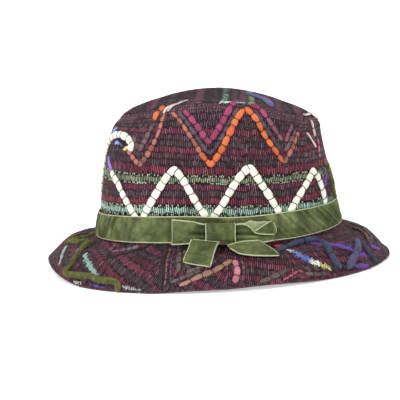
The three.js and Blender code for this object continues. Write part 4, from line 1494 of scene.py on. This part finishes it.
# Smaller yarns on the near side of the brim
SMALL_LOOKS = [
    ("yarn_black", BLACK), ("yarn_tan", TAN), ("yarn_pink", PINK), ("yarn_grey_brown", GREY_BROWN),
    ("yarn_salmon", SALMON), ("yarn_blue_grey", BLUE_GREY), ("yarn_dusty_mauve", DUSTY_MAUVE),
    ("yarn_red", RED), ("yarn_lilac", LILAC), ("yarn_light_blue", SKY), ("yarn_soft_yellow", YELLOW),
    ("yarn_hot_pink", HOT_PINK),
]
BLACK_AT, TAN_AT, PINK_AT, GREY_AT, SALMON_AT, BLUE_AT, MAUVE_AT, RED_AT, LILAC_AT, SKY_AT, YELLOW_AT, \
    HOT_AT = range(len(SMALL_LOOKS))
small = Build()
NEAR_SMALL_YARNS = [
    (80, BLACK_AT, 1.0, 11, 0.9, FREE, [
        (-44.5, 0.8, 3.0), (-40.5, -12, 3.6), (-37.5, -25, 3.7), (-35, -40, 3.6), (-34, -47, 3.2)]),
    (81, BLACK_AT, 1.2, 9, 0.8, FREE, [
        (-82, -16, 2.2), (-80.5, -20, 3.0), (-77, -21, 3.0), (-72, -13, 3.0), (-66, -5, 2.8),
        (-54, 0.8, 2.4)]),
    (82, MAUVE_AT, 1.8, 5.4, 0.42, TIED, [
        (-84, -11.5, 3.6), (-80, -8.4, 4.8), (-76, -6.2, 4.8), (-71, -3.8, 4.2), (-66, -1.6, 3.4)]),
    (182, MAUVE_AT, 1.6, 4.6, 0.5, TIED, [(-88, -10, 2.8), (-89.6, -5, 3.8), (-91, 0, 3.2)]),
    (83, SALMON_AT, 1.0, 5.0, 0.6, TIED, [
        (-39, -4, 1.2), (-36.5, -16, 1.3), (-34, -27, 1.3), (-32.5, -36, 1.3), (-32, -43, 1.2)]),
    (84, BLUE_AT, 1.1, 6.0, 0.6, TIED, [(-36, -3, 1.5), (-33, -15, 1.6), (-31, -28, 1.6), (-29, -41, 1.5)]),
    (85, GREY_AT, 1.5, 7.5, 0.55, TIED, [
        (-33, -2, 3.0), (-29, -12, 4.0), (-27, -22, 4.4), (-25.5, -33, 4.0)]),
    (86, GREY_AT, 1.5, 7.0, 0.55, TIED, [
        (-29, -41, 2.6), (-23, -38, 3.6), (-17, -35, 3.6), (-12, -32, 3.4)]),
    (87, TAN_AT, 2.4, 9.0, 0.45, TIED, [
        (-24, -44, 3.2), (-20, -42, 3.8), (-14, -38, 4.6), (-5, -33.5, 5.0), (0, -29.5, 5.0), (4, -26, 4.6),
        (7, -23.5, 4.2)]),
    (88, PINK_AT, 2.8, 6.4, 0.6, TIED, [
        (7.5, -23.5, 4.2), (8.6, -28, 5.0), (9.2, -34, 5.4), (8, -40, 5.2), (6.6, -45, 5.0)]),
    (112, SALMON_AT, 1.3, 7.0, 0.6, TIED, [
        (-160, -8, 1.6), (-156, -14, 2.0), (-148, -18, 2.2), (-138, -22, 2.2), (-133, -30, 2.0),
        (-132, -36, 1.6)]),
    (105, GREY_AT, 1.5, 6.5, 0.55, TIED, [
        (-27.6, -6, 3.0), (-24.2, -15, 3.6), (-21.6, -24, 3.6), (-20.4, -30, 3.2)]),
    (106, GREY_AT, 1.5, 7.0, 0.55, TIED, [
        (-21, -34, 3.0), (-15, -30.5, 3.6), (-8, -26.5, 3.6), (-3, -23.5, 3.0)]),
    (107, MAUVE_AT, 1.2, 6.0, 0.55, TIED, [(-24, -4, 2.4), (-20.5, -13, 2.8), (-18, -21, 2.6)]),
    (108, MAUVE_AT, 1.2, 9.0, 0.7, TIED, [
        (147, -8, 1.6), (141, -16, 1.8), (125, -22, 1.8), (116, -30, 1.6)]),
    (109, SALMON_AT, 1.2, 9.0, 0.7, TIED, [
        (140, -5, 1.6), (128, -14, 1.8), (119, -22, 1.8), (110, -28, 1.4)]),
    (89, GREY_AT, 1.2, 5.0, 0.6, TIED, [(12.5, -24, 1.8), (13, -33, 1.9), (12, -43, 1.8)]),
    (90, RED_AT, 2.0, 6.0, 0.6, FREE, [(40, -5.4, 3.4), (46.5, -6.6, 3.6)]),
    (92, HOT_AT, 1.4, 5.0, 0.5, TIED, [(33, -46, 1.9), (38, -43, 2.2), (44, -39, 2.1), (47, -41, 1.8)]),
    (93, GREY_AT, 1.7, 8.0, 0.55, TIED, [
        (20, -46.2, 3.2), (26, -43.6, 3.8), (32, -40.6, 4.2), (38, -37, 3.4)]),
    (95, GREY_AT, 1.5, 7.0, 0.6, TIED, [(47, -42, 3.0), (53, -43.5, 3.6), (60, -44, 3.2)]),
    (96, SKY_AT, 1.4, 8.0, 0.7, FREE, [(-120, 84, 2.6), (-116, 89.5, 3.8), (-110, 96, 3.2)]),
    (97, SKY_AT, 1.4, 9.0, 0.7, FREE, [
        (-107, 75.5, 2.6), (-103, 77.5, 3.2), (-97, 76.5, 3.4), (-92, 75, 3.0)]),
    (98, YELLOW_AT, 1.3, 9.0, 0.7, FREE, [(-93, 73, 2.8), (-88.5, 73.5, 3.8), (-85, 75.5, 3.2)]),
    (99, LILAC_AT, 1.6, 12.0, 0.8, FREE, [(-120, 65, 3.6), (-114, 60.5, 4.8), (-106.5, 56.5, 3.8)]),
]
for row in NEAR_SMALL_YARNS:
    lay(small, *row)

# Thin black thread that runs in small loops over the tape's end
SCRIBBLE_ROUND, SCRIBBLE_UP = -95, 76.5
SCRIBBLE_DRIFT = 0.4
SCRIBBLE_LONG, SCRIBBLE_TALL = 2.2, 3.6
SCRIBBLE_SLANT = 0.5
SCRIBBLE_WIDTH = 0.6
SCRIBBLE_END = 5.2 * math.pi
SCRIBBLE_POINTS = 60
SCRIBBLE = [
    (SCRIBBLE_ROUND + SCRIBBLE_DRIFT * at + SCRIBBLE_LONG * math.cos(at),
     SCRIBBLE_UP + SCRIBBLE_TALL * math.sin(at + SCRIBBLE_SLANT), SCRIBBLE_WIDTH)
    for at in np.linspace(0, SCRIBBLE_END, SCRIBBLE_POINTS)
]
couched(small, SCRIBBLE, height=0.8, segment=40.0, pinch=0.9, look=BLACK_AT, seed=199, tied=FREE,
        rounding=0.5, sink=-1.6)

# Smaller yarns on the back of the brim
FAR_SMALL_YARNS = [
    (100, GREY_AT, 1.2, 6.0, 0.5, TIED, [(132, -1, 1.8), (130, -12, 2.2), (127, -24, 2.0)]),
    (101, MAUVE_AT, 1.4, 6.0, 0.5, TIED, [(118, -20, 2.4), (115, -26, 2.6), (110, -32, 2.4)]),
    (102, BLACK_AT, 1.3, 6.0, 0.5, TIED, [
        (126, -10, 2.2), (121, -18, 2.4), (112, -24, 2.2), (107, -30, 2.0)]),
    (103, TAN_AT, 1.8, 8.0, 0.5, TIED, [(150, -30, 3.0), (170, -28, 3.2), (186, -34, 3.0)]),
    (104, PINK_AT, 1.8, 8.0, 0.5, TIED, [(350, -36, 3.2), (366, -24, 3.4), (380, -30, 3.2)]),
]
for row in FAR_SMALL_YARNS:
    lay(small, *row)

small.make("yarns_small", [yarn_material(name, tone, 0.3) for name, tone in SMALL_LOOKS], "woven_cloth")

# Rows of short bright stitches
STITCH_LOOKS = [
    ("stitch_turquoise", STITCH_TURQUOISE), ("stitch_violet", VIOLET), ("stitch_sky", SKY),
    ("stitch_blue", BLUE), ("stitch_white", STITCH_WHITE), ("stitch_yellow", YELLOW),
    ("stitch_lilac", LILAC), ("stitch_pale", STITCH_PALE),
]
TURQUOISE_ROW, VIOLET_ROW, SKY_ROW, BLUE_ROW, WHITE_ROW, YELLOW_ROW, LILAC_ROW, PALE_ROW = \
    range(len(STITCH_LOOKS))

# Path of [round, up, length of the stitches], pitch, seed, lean, look, scatter, spread and width
STITCH_ROWS = [
    ([(-97, -24, 5.0), (-92, -29, 6.0), (-87, -32, 6.2), (-80, -36, 5.6), (-76, -38, 4.6)],
     1.2, 1, 0.15, TURQUOISE_ROW, 0.12, 0.06),
    ([(-122, -27, 4.0), (-117, -34, 5.0), (-112, -41, 4.4)], 1.2, 2, 0.15, TURQUOISE_ROW, 0.15, 0.08),
    ([(-57, -43, 3.8), (-51, -44.5, 4.4), (-45, -46.5, 3.6)], 1.2, 3, 0.3, TURQUOISE_ROW, 0.35, 0.12),
    ([(-91, -46.5, 2.4), (-85, -46, 2.4)], 1.0, 4, 0.3, WHITE_ROW),
    ([(-79, -44.5, 2.6), (-70, -45.5, 3.2), (-62, -46, 2.8)], 1.1, 5, 0.5, VIOLET_ROW, 0.25, 0.22, 0.8),
    ([(-138, -9, 2.4), (-131, -12, 2.8)], 1.1, 6, 0.3, LILAC_ROW),
    ([(-108, -22, 2.4), (-103, -27, 2.6)], 1.1, 7, 0.3, LILAC_ROW),
    ([(68, -5, 5.0), (76, -16, 5.6), (84, -25, 5.6), (90, -34, 5.2), (94, -38, 4.2)],
     0.5, 8, 0.5, VIOLET_ROW, 0.5),
    ([(80, -42, 3.8), (85, -44.5, 4.6), (90, -46, 4.0)], 0.5, 9, 0.4, VIOLET_ROW, 0.5),
    ([(108, -33, 3.6), (115, -38, 4.2)], 0.6, 10, 0.4, VIOLET_ROW, 0.5),
    ([(46.3, -13.5, 3.0), (47.6, -19, 4.4)], 0.5, 110, 0.4, PALE_ROW, 0.4),
    ([(47.4, -18, 4.4), (50, -25.5, 5.2)], 0.5, 12, 0.4, SKY_ROW, 0.4),
    ([(50, -25, 5.2), (54, -31.5, 5.2)], 0.5, 13, 0.4, BLUE_ROW, 0.4),
    ([(49, -24, 4.6), (54, -31.5, 4.6)], 0.9, 111, 0.4, SKY_ROW, 0.6),
    ([(54, -31.5, 5.4), (58.5, -35.8, 5.4)], 0.45, 14, 0.4, WHITE_ROW, 0.6),
    ([(58.5, -35.8, 5.0), (64, -40.5, 4.2)], 0.5, 15, 0.4, YELLOW_ROW, 0.6),
    ([(0, 136, 3.4), (8, 146, 3.8), (17, 153, 3.8), (26, 158, 3.4)], 0.9, 26, 0.5, PALE_ROW, 0.5),
    ([(12, 143, 2.4), (22, 150, 2.6), (34, 154, 2.4)], 1.3, 27, 0.3, LILAC_ROW, 0.5),
    ([(100, 36, 4.0), (104, 43, 5.0), (107, 48, 4.4)], 0.5, 16, 0.4, VIOLET_ROW, 0.4),
    ([(190, -10, 4.0), (210, -34, 4.4)], 0.9, 17, 0.4, TURQUOISE_ROW),
    ([(300, -12, 3.6), (286, -30, 4.0)], 0.9, 18, 0.4, VIOLET_ROW, 0.5),
    ([(372, -10, 4.0), (386, -38, 4.2)], 0.9, 19, 0.4, SKY_ROW, 0.4),
]
stitches = Build()
for row in STITCH_ROWS:
    rungs(stitches, *row)
stitches.make("stitch_rows", [yarn_material(name, tone, 0.3) for name, tone in STITCH_LOOKS], "woven_cloth")

TIES.make("tie_threads", [yarn_material("tie_thread", TIE_DARK, 0.2)], "woven_cloth")

# Stray wool fibres over the cloth, and more round the brim's edge
FIBRE_SEED = 77
FIBRES = 5200
ON_BRIM = 0.3
BRIM_PLACES = (0.02, 1.95)
CROWN_PLACES = (2.62, 6.6)
FIBRE_ROOT, FIBRE_LENGTH, FIBRE_THICK = 0.02, 2.6, 0.035
EDGE_HAIRS = 3000
EDGE_PLACES = (0.0, 0.035)
EDGE_DEPTH = 1.0
EDGE_LENGTH, EDGE_THICK = 2.4, 0.07


def wool_fibres():
    fibres = Build()
    random = np.random.default_rng(FIBRE_SEED)
    turns = random.uniform(0, FULL_TURN, FIBRES)
    places = np.where(random.uniform(0, 1, FIBRES) < ON_BRIM, random.uniform(*BRIM_PLACES, FIBRES),
                      random.uniform(*CROWN_PLACES, FIBRES))
    normals = skin_normal(turns, places)
    side = unit(np.cross(normals, random.normal(0, 1, (FIBRES, 3))))
    reach = np.full(FIBRES, FIBRE_ROOT)
    hairs(fibres, skin(turns, places), normals, side, reach, reach, random, 0, FIBRES, FIBRE_LENGTH,
          FIBRE_THICK)
    turns = random.uniform(0, FULL_TURN, EDGE_HAIRS)
    points = skin(turns, random.uniform(*EDGE_PLACES, EDGE_HAIRS), -EDGE_DEPTH)
    out = unit(points * np.array([1.0, 1.0, 0.0]))
    side = np.cross(out, np.array([0.0, 0.0, 1.0]))
    reach = np.full(EDGE_HAIRS, EDGE_DEPTH)
    hairs(fibres, points, out, side, reach, reach, random, 0, EDGE_HAIRS, EDGE_LENGTH, EDGE_THICK)
    fibres.make("wool_fibres", [yarn_material("wool_fibre", WOOL_HAIR, 0.4, 0.2)], "woven_cloth")


wool_fibres()
